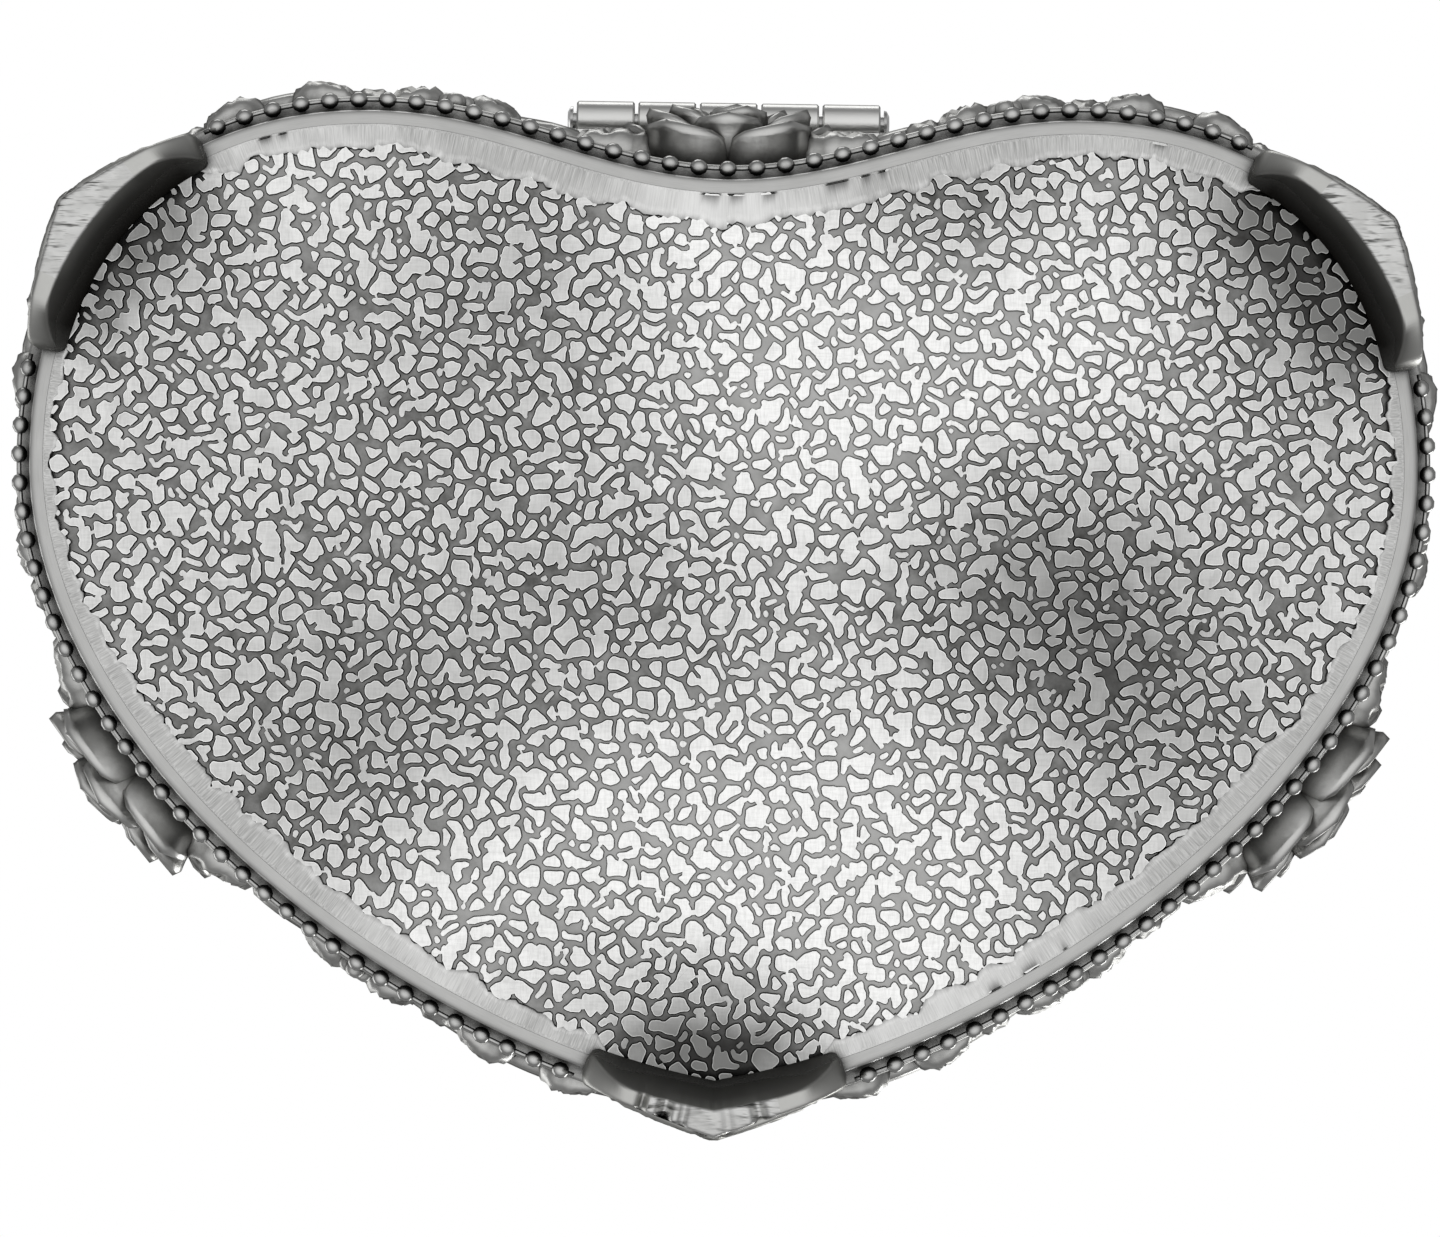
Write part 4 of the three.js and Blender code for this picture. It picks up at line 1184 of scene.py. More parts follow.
def beaded(name, start, stop, pitch, radius, offset, z, body, node):
    """A row of balls on a wire. A row that goes all round the heart closes on itself."""
    run = stop - start
    count = round(run / pitch)
    whole = [ball(start + (i + 0.5) * (run / count), radius, offset, z) for i in range(count)]
    reach = radius * wire_share

    def core(u, v):
        angle = turn * v
        return place(start + u * run, offset + reach * math.cos(angle), z + reach * math.sin(angle))

    wire = grid(2 * count, 6, core)
    if run < 0.99 * perimeter:
        bmesh.ops.holes_fill(wire, edges=wire.edges)
    whole.append(face_out(wire))
    print(name, "has", count, "beads")
    belongs(made(name, joined(whole), bead_pewter), body, "antique_pewter", node)


clear_of_foot = foot_length / 2 + 0.4 * mm
bead_pitch = 1.82 * mm
foot_beads = {
    "beads_right": (side_foot, perimeter / 2),
    "beads_left": (perimeter / 2, perimeter - side_foot),
    "beads_back": (-side_foot, side_foot),
}
for node, (start, stop) in foot_beads.items():
    ends = start + clear_of_foot, stop - clear_of_foot
    beaded(node + "_cast", *ends, bead_pitch, bead_radius, 0, bead_z, "box", node)

# %% [markdown]
# ## Relief, drawn on a surface
# Leaves, stems and flowers are each made once, in three numbers: two across the surface that they lie on,
# and the height over it. A surface is a function that turns those into a place, so the same leaf can lie on
# the wall or on the lid, and it follows the curve there.

# %% The surface of the wall
tallest_relief = 1.25 * mm
fullest = 1.5


def fullness(s):
    """The relief stands fuller on the flanks than at the widest points, where it would snag in a hand."""
    x, y, nx, ny = from_table(s)
    room = (cad_high.x - abs(x)) / max(abs(nx), 0.01)
    return min(fullest, room / tallest_relief)


def on_wall(s, z, height):
    return place(s, height * fullness(s) if height > 0 else height, z)


# %% A leaf
sunk = 0.3 * mm


def leaf(surface, a, b, heading, length, width, lift, curl=0, columns=12, rows=16):
    """A leaf with a midrib and side veins. It starts at a, b, and its underside is sunk in the ground."""
    ahead = Vector((math.cos(heading), math.sin(heading)))
    aside = Vector((-ahead.y, ahead.x))
    thick = 0.13 * width

    def at(u, v):
        around = turn * v
        x = math.cos(around)
        body = math.sin(math.pi * u**0.75) ** 0.8 if 0 < u < 1 else 0
        teeth = 1 + 0.12 * abs(math.sin(4.5 * math.pi * u))
        off = width / 2 * body * teeth * x + curl * length * u * u
        spot = Vector((a, b)) + ahead * length * u + aside * off
        if math.sin(around) < 0:
            return surface(spot.x, spot.y, -sunk)
        rise = lift * (0.35 + 0.65 * math.sin(math.pi * min(1, u * 1.1) ** 0.8))
        veins = 0.35 * thick * math.cos(turn * (4.5 * u - 1.1 * abs(x))) * (1 - x * x)
        fold = thick * (1.1 * abs(x) - 0.9 * x * x)
        edge = (1 - x**6) ** 0.5
        return surface(spot.x, spot.y, (rise + fold + veins) * edge * min(1, 6 * (1 - u)))

    return face_out(grid(columns, rows, at))


# %% A stem and a flower
def stem(surface, path, radius, tip=0.5, sides=8):
    """A round stem through a list of points, thinner at its end."""
    count = len(path) - 1

    def at(u, v):
        i = round(u * count)
        here = Vector(path[i])
        along = Vector(path[min(i + 1, count)]) - Vector(path[max(i - 1, 0)])
        aside = Vector((-along.y, along.x)).normalized()
        r = radius * (1 - (1 - tip) * u) * (0.25 if i in (0, count) else 1)
        angle = turn * v
        spot = here + aside * r * math.cos(angle)
        return surface(spot.x, spot.y, 0.5 * radius + r * math.sin(angle))

    bm = grid(count, sides, at)
    bmesh.ops.holes_fill(bm, edges=bm.edges)
    return face_out(bm)


def flower(surface, a, b, radius, height, petals=5, start=0, columns=30, rows=9):
    """A small flower: petals round a ball. With no petals it is a berry."""

    def at(u, v):
        angle = turn * u
        open_share = abs(math.cos(petals * (angle - start) / 2)) if petals else 1
        if v > 0.85:
            reach, h = (0.8 + 0.2 * open_share) * (1 - v) / 0.15, -sunk
        else:
            share = v / 0.85
            reach = share * (0.74 + 0.26 * open_share**0.7)
            cup = 0.55 + 0.45 * math.sin(math.pi * min(1, share / 0.75) / 2) if petals else 1
            full = 0.45 + 0.35 * open_share**0.6 if petals else 1
            h = height * math.sqrt(max(0, 1 - share**4)) * cup * full
            if petals and share < 0.3:
                h = max(h, height * (0.35 + 0.65 * math.sqrt(1 - (share / 0.3) ** 2)))
        return surface(a + radius * reach * math.cos(angle), b + radius * reach * math.sin(angle), h)

    return face_out(grid(columns, rows, at))


# %% [markdown]
# ## The feet
# Each foot is a bracket, cast apart and soldered over the rim. Its inner face is slightly hollow, its outer
# face has a knee in the middle, and its sole has been filed flat so that the box stands steady. The filing
# stops short of the ends, which are as smooth as they were cast. One section is carried along the heart line
# and changes on the way, and dents from the file are taken out of its sole.

# %% Foot sizes
foot_inside = 2.2 * mm
sole_inside = 0.75 * mm
foot_end_rise = 2.3 * mm
foot_shoulder = 7.1 * mm
foot_columns = 96
foot_rows = 8 * 5
side_knee = 1.6 * mm
front_knee = 0.9 * mm
filed_reach = 4.2 * mm
palmette_lift = 0.2 * mm


def foot_knee(t, knee):
    """The outer face runs nearly straight from the knee in its middle to each end."""
    bend = abs(t)
    hollow = 0.4 * math.sin(math.pi * bend) * knee / side_knee
    return knee * (1 - bend) + (0.1 * bend - hollow - 0.3 * bend**6) * mm


def foot_corners(t, dents, knee):
    """The section at t, which runs from -1 to 1 along the foot: offset, height and radius of each corner."""
    bend = abs(t)
    knee = foot_knee(t, knee)
    sole = foot_end_rise * max(0, (bend - 0.65) / 0.35) ** 1.5
    cut = sum(deep * mm * max(0, 1 - abs(t - at) / wide) for at, wide, deep in dents)
    inner = sole_inside + (foot_inside - sole_inside) * bend**5
    hollow = 0.3 * mm * (1 - bend**4)
    return [
        (-foot_inside, floor_z + 0.05 * mm, 0.05 * mm),
        (-inner - 0.72 * (foot_inside - inner) + hollow, 0.5 * floor_z + 0.3 * sole, 0.8 * mm),
        (-inner, sole + 0.6 * cut, 0.22 * mm),
        (knee, sole + cut, 0.3 * mm),
        (knee + 0.22 * mm, floor_z * 0.6, 1 * mm),
        (max(knee * 0.5, 0) + 0.3 * mm, foot_shoulder, 0.35 * mm),
        (-groove + 0.2 * mm, foot_shoulder, 0.1 * mm),
        (-groove + 0.2 * mm, floor_z - seam, 0.1 * mm),
    ]


# %% A foot's bracket
def foot_body(middle, dents, knee):
    shapes = {}

    def at(u, v):
        t = 2 * u - 1
        if u not in shapes:
            section = rounded(foot_corners(t, dents, knee), 0.2 * mm, 4)
            centre = sum(section, Vector((0, 0))) / len(section)
            close = min(1, max(0, (abs(t) - 0.93) / 0.07))
            keep = 0.42 + 0.58 * math.sqrt(1 - close**2)
            shapes[u] = [centre + (p - centre) * keep for p in section]
        offset, z = shapes[u][round(v * len(shapes[u])) % len(shapes[u])]
        return place(middle + t * foot_length / 2, offset, z)

    bm = grid(foot_columns, foot_rows, at)
    bmesh.ops.holes_fill(bm, edges=bm.edges)
    bmesh.ops.recalc_face_normals(bm, faces=bm.faces)
    heart_of_foot = place(middle, 0, 0).to_2d()
    for face in bm.faces:
        spot = face.calc_center_median()
        reach = (spot.to_2d() - heart_of_foot).length
        if face.normal.z < -0.5 and spot.z < 1 * mm and reach < filed_reach:
            face.material_index = 1
    return bm


# %% [markdown]
# The feet's inner faces are painted dark: painted shade where the foot's own shadow falls, together with the
# patina that stayed where the wheel couldn't reach. How dark is stored at each corner as a number, shade,
# which the feet's finish reads, because a second material would have a hard edge where it starts.

# %% Shade the inner faces
def shade_inner_face(piece, middle, darkest):
    """More painted shade and patina towards the plate, and less towards the foot's ends."""
    places = np.array([corner.co[:2] for corner in piece.data.vertices])
    depth = depth_inside(places) - sole_inside
    away = np.hypot(*(places - np.array(place(middle, 0, 0).to_2d())).T) / (foot_length / 2)
    inner = np.clip(depth / (0.1 * mm), 0, 1)
    inwards = np.clip(0.62 + 0.3 * depth / mm, 0, 1)
    along = np.clip(2.6 - 2.1 * away, 0, 1)
    mark(piece, "shade", darkest * inner * inwards * along)


# %% Make the feet
palmette_ways = (0, 0.75, -0.75, 1.3, -1.3)


def foot(name, middle, dents, knee_height, filed_sole, darkest):
    """The bracket with a low palmette on its outer face."""

    def on_foot(s, z, height):
        t = (s - middle) / (foot_length / 2)
        knee = foot_knee(t, knee_height)
        reaches = (knee, knee + 0.2 * mm, max(knee * 0.5, 0) + 0.3 * mm)
        return place(s, np.interp(z, (0, floor_z * 0.6, foot_shoulder), reaches) + height, z)

    pieces = [foot_body(middle, dents, knee_height)]
    for way in palmette_ways:
        size = (4.6 + 0.9 * abs(way)) * mm, (2.1 - 0.3 * abs(way)) * mm, palmette_lift
        start = (middle + 0.7 * mm * math.sin(way), 1 * mm)
        pieces.append(leaf(on_foot, *start, math.pi / 2 - way, *size, -0.1 * way, 12, 14))
    piece = made(name + "_cast", joined(pieces), [foot_pewter, filed_sole])
    shade_inner_face(piece, middle, darkest)
    return piece


# Each dent is its place along the foot, from -1 to 1, its half width there, and its depth in millimetres.
front_dents = [
    (-0.53, 0.045, 0.9), (-0.36, 0.07, 1.1), (-0.22, 0.04, 0.5), (0.33, 0.07, 0.8), (0.1, 0.06, 0.3),
]
side_dents = [(-0.1, 0.04, 0.12), (0.32, 0.05, 0.15)]
other_dents = [(-t, wide, deep) for t, wide, deep in side_dents]
for node, middle, dents, knee, sole, darkest in (
    ("foot_right", side_foot, side_dents, side_knee, filed_along, 1),
    ("foot_front", perimeter / 2, front_dents, front_knee, filed_across, 0.8),
    ("foot_left", perimeter - side_foot, other_dents, side_knee, filed_along, 1),
):
    belongs(foot(node, middle, dents, knee, sole, darkest), "box", "ground_pewter", node)

# %% [markdown]
# The wall's panel is filled with a scrolling vine. The stem swings up and down between two roses. At each
# crest a branch leaves it, curls inwards, and ends in a flower. Leaves and berries fill the corners. No
# photograph shows this side of the box, so the vine is the usual one for such boxes.

# %% Sizes of the vine
panel_middle = (panel_foot + panel_head) / 2
swing = 4.4 * mm
scroll_radius = 3.9 * mm
crest_spacing = 12 * mm
stem_radius = 0.62 * mm
vine_lead = 3 * mm
vine_start = 12.4 * mm
berry = 0.72 * mm
berry_height = 0.8 * mm
berry_spots = ((0, 1.7), (0.6, 0.95), (-0.6, 0.95))
curl_steps = 26
crest_leaf = (4.9 * mm, 2.9 * mm, 0.95 * mm)
hanging_leaf = (4.7 * mm, 2.8 * mm, 0.95 * mm)
corner_leaf = (3.9 * mm, 2.1 * mm, 0.7 * mm)


# %% Parts of the vine
def stem_height(a, start, stop, spacing):
    """The stem's height along the panel. Past its first and last crossing it dies away to the middle."""
    past = max(start - a, a - stop, 0)
    return panel_middle + swing * math.sin(math.pi * (a - start) / spacing) * (1 - past / vine_lead) ** 2


def berries(a, b, heading, pieces):
    for lean, away in berry_spots:
        spot = (a + away * mm * math.cos(heading + lean), b + away * mm * math.sin(heading + lean))
        pieces.append(flower(on_wall, *spot, berry, berry_height, 0, columns=12, rows=6))


def curled_branch(a, b, side):
    """A branch that curls inwards round a, b, from the crest of the stem."""
    curl = []
    for i in range(curl_steps + 1):
        share = i / curl_steps
        angle = side * (math.pi / 2 - 1.28 * turn * share)
        r = scroll_radius * (1 - 0.52 * share)
        curl.append((a + r * math.cos(angle), b + r * math.sin(angle)))
    return stem(on_wall, curl, stem_radius * 0.85, 0.7)


# %% Make the vine
def vine(start, stop, pieces):
    """The stem from start to stop, with a branch, its flower, six leaves and three berries at each crest."""
    crests = round((stop - start) / crest_spacing)
    spacing = (stop - start) / crests
    along = np.linspace(start - vine_lead, stop + vine_lead, 15 * crests).tolist()
    pieces.append(stem(on_wall, [(a, stem_height(a, start, stop, spacing)) for a in along], stem_radius, 1))
    for k in range(crests):
        side = 1 if k % 2 == 0 else -1
        a, b = start + (k + 0.5) * spacing, panel_middle + side * (swing - scroll_radius)
        pieces.append(curled_branch(a, b, side))
        pieces.append(flower(on_wall, a, b, 2.1 * mm, 1.05 * mm, start=k))
        for lean in (1, -1):
            crest = (a - lean * side * 0.8 * mm, panel_middle + side * 5.35 * mm)
            heading = side * math.pi / 2 + lean * 1.2
            pieces.append(leaf(on_wall, *crest, heading, *crest_leaf, -0.1 * lean))
            below = (a + lean * side * 0.8 * mm, b - side * 2.45 * mm)
            heading = lean * 0.75 - side * math.pi / 2
            pieces.append(leaf(on_wall, *below, heading, *hanging_leaf, 0.12 * lean))
        berries(a - side * 0.1 * mm, panel_middle - side * 4.9 * mm, -side * math.pi / 2, pieces)
        for way, heading in ((side, 1.35), (-side, -1.8)):
            corner = (a + spacing / 2, panel_middle + way * 3.2 * mm)
            pieces.append(leaf(on_wall, *corner, side * heading, *corner_leaf, columns=10, rows=12))


rose_place = 79.6 * mm
rose_radius = 7.6 * mm


def wall_relief():
    pieces = []
    vine(vine_start, rose_place - vine_start, pieces)
    vine(rose_place + vine_start, perimeter - rose_place - vine_start, pieces)
    vine(perimeter - rose_place + vine_start, perimeter - vine_start, pieces)
    return made("wall_vine", joined(pieces), relief_pewter)


belongs(wall_relief(), "box", "antique_pewter")

# %% [markdown]
# ## The roses
# A rose is rings of petals round a bud. Seen from below, as in the photograph, what shows is the smooth,
# bulging back of each outer petal, so a petal is a thick, cupped shell: it leaves the middle low down,
# swells outwards, turns up, and ends in a round lip that rolls back. The shell is a grid wrapped round the
# petal's middle surface, half its thickness to either side.

# %% A petal
def petal(world, radius, stand, ring, heading, thick, columns=16, rows=20):
    """One petal. Its middle is a formula of x, from -1 to 1 across it, and v, from 0 at its root to 1."""
    r0, r1, z0, z1, half = ring

    def middle(x, v):
        broad = 0.6 + 0.4 * math.sin(math.pi / 2 * min(1, v / 0.6))
        if v > 0.5:
            broad *= math.sqrt(max(0, 1 - ((v - 0.5) / 0.5) ** 4))
        lean = x * broad
        angle = heading + lean * half
        lip = max(0, (v - 0.78) / 0.22)
        reach = r0 + (r1 - r0) * math.sin(v * math.pi / 2) ** 0.8 + 0.06 * lip**2
        r = radius * reach * (1 - 0.32 * lean**2)
        rise = (1 - math.cos(v * math.pi / 2)) ** 0.9
        z = stand * (z0 + (z1 - z0) * rise)
        return Vector((r * math.cos(angle), r * math.sin(angle), z))

    def at(u, v):
        around = turn * v
        x, side = math.cos(around), math.copysign(abs(math.sin(around)) ** 0.7, math.sin(around))
        e = 0.02
        here = middle(x, u)
        across = middle(min(1, x + e), u) - middle(max(-1, x - e), u)
        along = middle(x, min(1, u + e)) - middle(x, max(0, u - e))
        normal = across.cross(along)
        if normal.length < 1e-12:
            normal = Vector((0, 0, 1))
        fade = math.sqrt(max(0, 1 - (2 * u - 1) ** 14))
        return world(here + normal.normalized() * side * thick / 2 * fade)

    return face_out(grid(columns, rows, at))


# %% A rose
def rose(world, radius, stand, petals, thick):
    """Rings of petals: reach at base and lip, height at base and lip, and half width in radians."""
    rings = [
        (petals, (0.5, 0.95, -0.2, 0.62, 0.7 * 5 / petals), 0),
        (petals, (0.38, 0.76, 0, 0.8, 0.68 * 5 / petals), 0.5),
        (4, (0.27, 0.55, 0.15, 0.91, 0.82), 0.2),
        (3, (0.14, 0.35, 0.3, 0.96, 1.08), 0.6),
        (2, (0.04, 0.18, 0.35, 0.98, 1.5), 0.1),
    ]
    pieces = []
    for count, ring, start in rings:
        for i in range(count):
            heading = turn * (i + start) / count + math.pi / 2
            pieces.append(petal(world, radius, stand, ring, heading, thick))

    def core(u, v):
        angle, up = turn * u, math.pi * (v - 0.5)
        r = 0.5 * radius * math.cos(up)
        return world(Vector((r * math.cos(angle), r * math.sin(angle), 0.5 * stand * math.sin(up))))

    pieces.append(face_out(grid(20, 10, core)))
    return pieces


# %% The roses on the wall
rose_stand = 4.9 * mm
rose_z = 15.9 * mm
petal_thick = 0.7 * mm
wall_leaf_ways = (1.25, -1.25, 1.95, -1.95)
wall_leaf = (7.8 * mm, 4.4 * mm, 1.2 * mm)


def wall_rose(name, middle):
    def world(p):
        return place(middle - p.x, p.z, rose_z + p.y)

    pieces = rose(world, rose_radius, rose_stand, 5, petal_thick)
    for way in wall_leaf_ways:
        a, b = middle + 0.5 * rose_radius * math.sin(way), rose_z + 0.5 * rose_radius * math.cos(way)
        heading = math.atan2(math.cos(way), math.sin(way))
        pieces.append(leaf(on_wall, a, b, heading, *wall_leaf, columns=18, rows=20))
    return made(name + "_cast", joined(pieces), rose_pewter)


for node, middle in (("rose_right", rose_place), ("rose_left", perimeter - rose_place), ("rose_back", 0)):
    belongs(wall_rose(node, middle), "box", "antique_pewter", node)

# %% [markdown]
# ## The lid
# The lid drops over the wall's lip. It has a plain band, a groove for its own beads, and a dome. The dome is
# the heart line pulled towards the middle while it rises by a formula, so it needs no modelling by hand.
# Under the dome's skin the same formula, drawn in and lowered, is its inner face.

# %% Lid sizes
shell_low, shell_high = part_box("lid_shell")
lid_z = shell_low.z
lid_overhang = 0.8 * mm
lid_band = 1.65 * mm
lid_bead_radius = 0.7 * mm
lid_bead_pitch = 2.9 * mm
lid_bead_offset = 0.1 * mm
dome_edge_offset = -0.9 * mm
dome_edge_z = lid_z + lid_band + 2 * lid_bead_radius + 0.35 * mm
dome_height = 8 * mm
lid_ceiling = lip_top + 0.3 * mm
inner_offset = -wall_inside - 0.4 * mm
inner_z = lid_ceiling + 1.2 * mm
dome_thick = 1.5 * mm
inner_height = dome_edge_z + dome_height - dome_thick - inner_z


def dome_rise(pull):
    """The dome's height as a share, at a pull from 0 at its edge to 1 in its middle."""
    return max(0, 1 - (1 - pull) ** 2) ** 0.6


# %% [markdown]
# The lid's relief has to lie on the dome, so the dome's height is needed at any place. Its edge is kept as a
# table of how far out it is in each direction, and the pull follows from how far towards it the place lies.

# %% The surface of the lid
edge_steps = 1440
way_steps = 3600
slope_step = 0.25 * mm
lid_edge = [place(perimeter * i / edge_steps, dome_edge_offset, 0) for i in range(edge_steps)]
lid_angles = np.array([math.atan2(p.y, p.x) % turn for p in lid_edge])
lid_reach = np.array([math.hypot(p.x, p.y) for p in lid_edge])
order = np.argsort(lid_angles)
ways = np.arange(way_steps + 1) * turn / way_steps
reach_table = np.interp(ways, lid_angles[order], lid_reach[order], period=turn).tolist()


def dome_z(x, y):
    at = (math.atan2(y, x) % turn) / turn * way_steps
    i = int(at) % way_steps
    edge = reach_table[i] + (reach_table[i + 1] - reach_table[i]) * (at - int(at))
    return dome_edge_z + dome_height * dome_rise(max(0, 1 - math.hypot(x, y) / edge))


def on_lid(x, y, height):
    e = slope_step
    slope_x = (dome_z(x + e, y) - dome_z(x - e, y)) / (2 * e)
    slope_y = (dome_z(x, y + e) - dome_z(x, y - e)) / (2 * e)
    normal = Vector((-slope_x, -slope_y, 1)).normalized()
    return Vector((x, y, dome_z(x, y))) + normal * height


def on_lid_edge(s, inwards, height):
    p = place(s, dome_edge_offset - inwards, 0)
    return on_lid(p.x, p.y, height)


# %% The lid's section
dome_pulls = [0.0, 0.012, 0.03, 0.06, 0.1, 0.15, 0.21, 0.28, 0.36, 0.45, 0.55, 0.66, 0.78, 0.9, 0.999]
lip_clearance = 0.3 * mm


def pulled(s, offset, pull, z):
    """A place on the line, pulled towards the middle of the heart."""
    p = place(s, offset, 0)
    return Vector((p.x * (1 - pull), p.y * (1 - pull), z))


def pulled_skin(profile, columns):
    """Carries a section of offset, pull and height round the heart, and closes its ends."""
    rows = len(profile) - 1

    def at(u, v):
        return pulled(u * perimeter, *profile[round(v * rows)])

    bm = grid(columns, rows, at)
    bmesh.ops.holes_fill(bm, edges=bm.edges)
    return face_out(bm)


def lid_profile():
    """The lid's section as offset, pull and height, from the middle inside to the middle outside."""
    groove_in = lid_bead_offset - lid_bead_radius - seam
    lip = -lip_outside + lip_clearance
    rim = [
        (inner_offset, lid_ceiling, 0.1 * mm),
        (lip, lid_ceiling, 0.1 * mm),
        (lip, lid_z, 0.15 * mm),
        (lid_overhang, lid_z, 0.3 * mm),
        (lid_overhang, lid_z + lid_band, 0.3 * mm),
        (groove_in, lid_z + lid_band, 0.1 * mm),
        (groove_in, dome_edge_z - 0.3 * mm, 0.12 * mm),
    ]
    inside = [(inner_offset, pull, inner_z + inner_height * dome_rise(pull)) for pull in reversed(dome_pulls)]
    outside = [(dome_edge_offset, pull, dome_edge_z + dome_height * dome_rise(pull)) for pull in dome_pulls]
    corners = [(inner_offset, inner_z), *rim, (dome_edge_offset, dome_edge_z)]
    section = rounded(corners, 0.1 * mm, closed=False)
    return inside[:-1] + [(p.x, 0, p.y) for p in section] + outside[1:]


# %% Make the lid
lift_half = 3.9 * mm
lift_reach = 3.1 * mm
lift_inside = 0.95 * mm
lift_inner_edge = 1.3 * mm


def thumb_lift():
    """A flattened, faintly fluted knob at the heart's point, cut off where it meets the lid's band."""

    def thumb(u, v):
        angle, up = turn * u, math.pi * (v - 0.5)
        flat = math.copysign(abs(math.sin(up)) ** 0.6, math.sin(up))
        reach = math.cos(up) ** 0.7 if 0 < v < 1 else 0
        wave = 1 + 0.05 * math.cos(10 * angle)
        y = -back_y + lift_inside + lift_reach * reach * math.sin(angle) * wave
        z = lid_z + lid_band / 2 + (lid_band / 2 - 0.1 * mm) * flat
        return Vector((lift_half * reach * math.cos(angle), min(y, -back_y + lift_inner_edge), z))

    lift = face_out(grid(36, 12, thumb))
    for face in lift.faces:
        face.material_index = 1
    return lift


def lid_shell():
    bm = pulled_skin(lid_profile(), 300)
    for face in bm.faces:
        if lid_z - 1e-5 < face.calc_center_median().z < lid_z + lid_band + 0.05 * mm:
            face.material_index = 1
    return made("lid_shell_cast", joined([bm, thumb_lift()]), [dome_pewter, rim_pewter])


belongs(lid_shell(), "lid", "antique_pewter", "lid_shell")
lid_row = lid_bead_pitch, lid_bead_radius, lid_bead_offset, lid_z + lid_band + lid_bead_radius + seam
beaded("lid_beads_cast", 0, perimeter, *lid_row, "lid", "lid_beads")

# %% [markdown]
# The lid's relief is a laurel border inside the beads, and sprays that join the roses. The leaf, the stem
# and the flower are the wall's own, laid on the lid's surface.

# %% The laurel border
border_inside = 3.6 * mm
border_pairs = 44
border_leaf = (5.6 * mm, 2.3 * mm, 0.75 * mm)
# Each spray is a Bezier curve in millimetres, on the right half of the lid.
sprays = [
    ((9.2, -3.2), (16, -10), (21, -9), (29, -1)),
    ((1.8, -10.2), (3, -15), (12, -18), (16, -14)),
    ((13.6, 5.4), (19, 5), (24, 10), (31, 6.5)),
    ((20.4, 17), (24, 23), (30, 20), (32.5, 14.5)),
]


def laurel():
    """Leaves in pairs on a stem, heading from the notch to the point on both sides."""
    line = [(perimeter * i / 240, border_inside) for i in range(241)]
    pieces = [stem(on_lid_edge, line, 0.45 * mm, 1, 6)]
    for i in range(border_pairs):
        s = i * perimeter / border_pairs
        if i in (0, border_pairs // 2):
            pieces.append(flower(on_lid_edge, s, border_inside, 1.7 * mm, 0.9 * mm))
            continue
        for lean in (1, -1):
            heading = lean * 0.42 if i < border_pairs / 2 else math.pi - lean * 0.42
            start = border_inside + lean * 0.5 * mm
            pieces.append(leaf(on_lid_edge, s, start, heading, *border_leaf, columns=10, rows=12))
    return pieces


# %% The sprays
def spray(side, bend):
    """A stem with five leaves and a flower at its end. Side is 1 on the right and -1 on the left."""
    points = [Vector((side * x * mm, y * mm, 0)) for x, y in bend]
    path = [(p[0], p[1]) for p in geometry.interpolate_bezier(*points, 31)]
    pieces = [stem(on_lid, path, 0.62 * mm, 0.6)]
    for j, i in enumerate((5, 10, 16, 21, 26)):
        lean = side if j % 2 else -side
        ahead = Vector(path[i + 1]) - Vector(path[i])
        heading = math.atan2(ahead.y, ahead.x) + 0.7 * lean
        size = (4.9 - 0.25 * j) * mm
        pieces.append(leaf(on_lid, *path[i], heading, size, 0.54 * size, 0.9 * mm, 0.1 * lean))
    end, ahead = Vector(path[-1]), (Vector(path[-1]) - Vector(path[-2])).normalized()
    pieces.append(flower(on_lid, *(end + ahead * 1.5 * mm), 1.9 * mm, 1.05 * mm, start=side))
    return pieces


def lid_relief():
    pieces = laurel()
    for side in (1, -1):
        for bend in sprays:
            pieces += spray(side, bend)
    return made("lid_vine", joined(pieces), relief_pewter)


belongs(lid_relief(), "lid", "antique_pewter")

# %% The roses on the lid
def seated(point, normal):
    """Turns a rose's own axes so that it stands on the dome."""
    z = normal.normalized()
    x = Vector((0, 1, 0)).cross(z).normalized()
    return Matrix.Translation(point) @ Matrix((x, z.cross(x), z)).transposed().to_4x4()


def lid_rose(name, x, y, radius, stand, petals, leaves):
    point = on_lid(x, y, 0)
    seat = seated(point, on_lid(x, y, 1 * mm) - point)

    def world(p):
        return seat @ p

    pieces = rose(world, radius, stand, petals, 0.085 * radius)
    for way in leaves:
        heading = way + math.pi / 2
        a, b = x + 0.6 * radius * math.cos(heading), y + 0.6 * radius * math.sin(heading)
        length = 0.98 * radius
        pieces.append(leaf(on_lid, a, b, heading, length, 0.6 * length, 0.16 * radius, columns=18, rows=20))
    return made(name + "_cast", joined(pieces), rose_pewter)


lobe_rose = place(27 * mm, dome_edge_offset, 0) * (1 - 0.46)
lobe_size = 4.9 * mm, 3 * mm, 4
for node, x, y, size, leaves in (
    ("lid_rose", 0, 0, (8.3 * mm, 4.3 * mm, 5), (0, 1.26, 2.51, 3.77, 5.03)),
    ("lid_rose_right", lobe_rose.x, lobe_rose.y, lobe_size, (0.95, 2.7, 4.7)),
    ("lid_rose_left", -lobe_rose.x, lobe_rose.y, lobe_size, (-0.95, -2.7, -4.7)),
):
    belongs(lid_rose(node, x, y, *size, leaves), "lid", "antique_pewter", node)

# %% [markdown]
# ## The hinge
# Two leaves are soldered on, one to the wall and one to the lid. Their knuckles alternate along one pin,
# whose ends are peened over into low heads. Knuckles and pin are outlines spun round the pin's line. Each
# knuckle reaches its leaf by an arm, a cube that is sized, moved and bevelled.

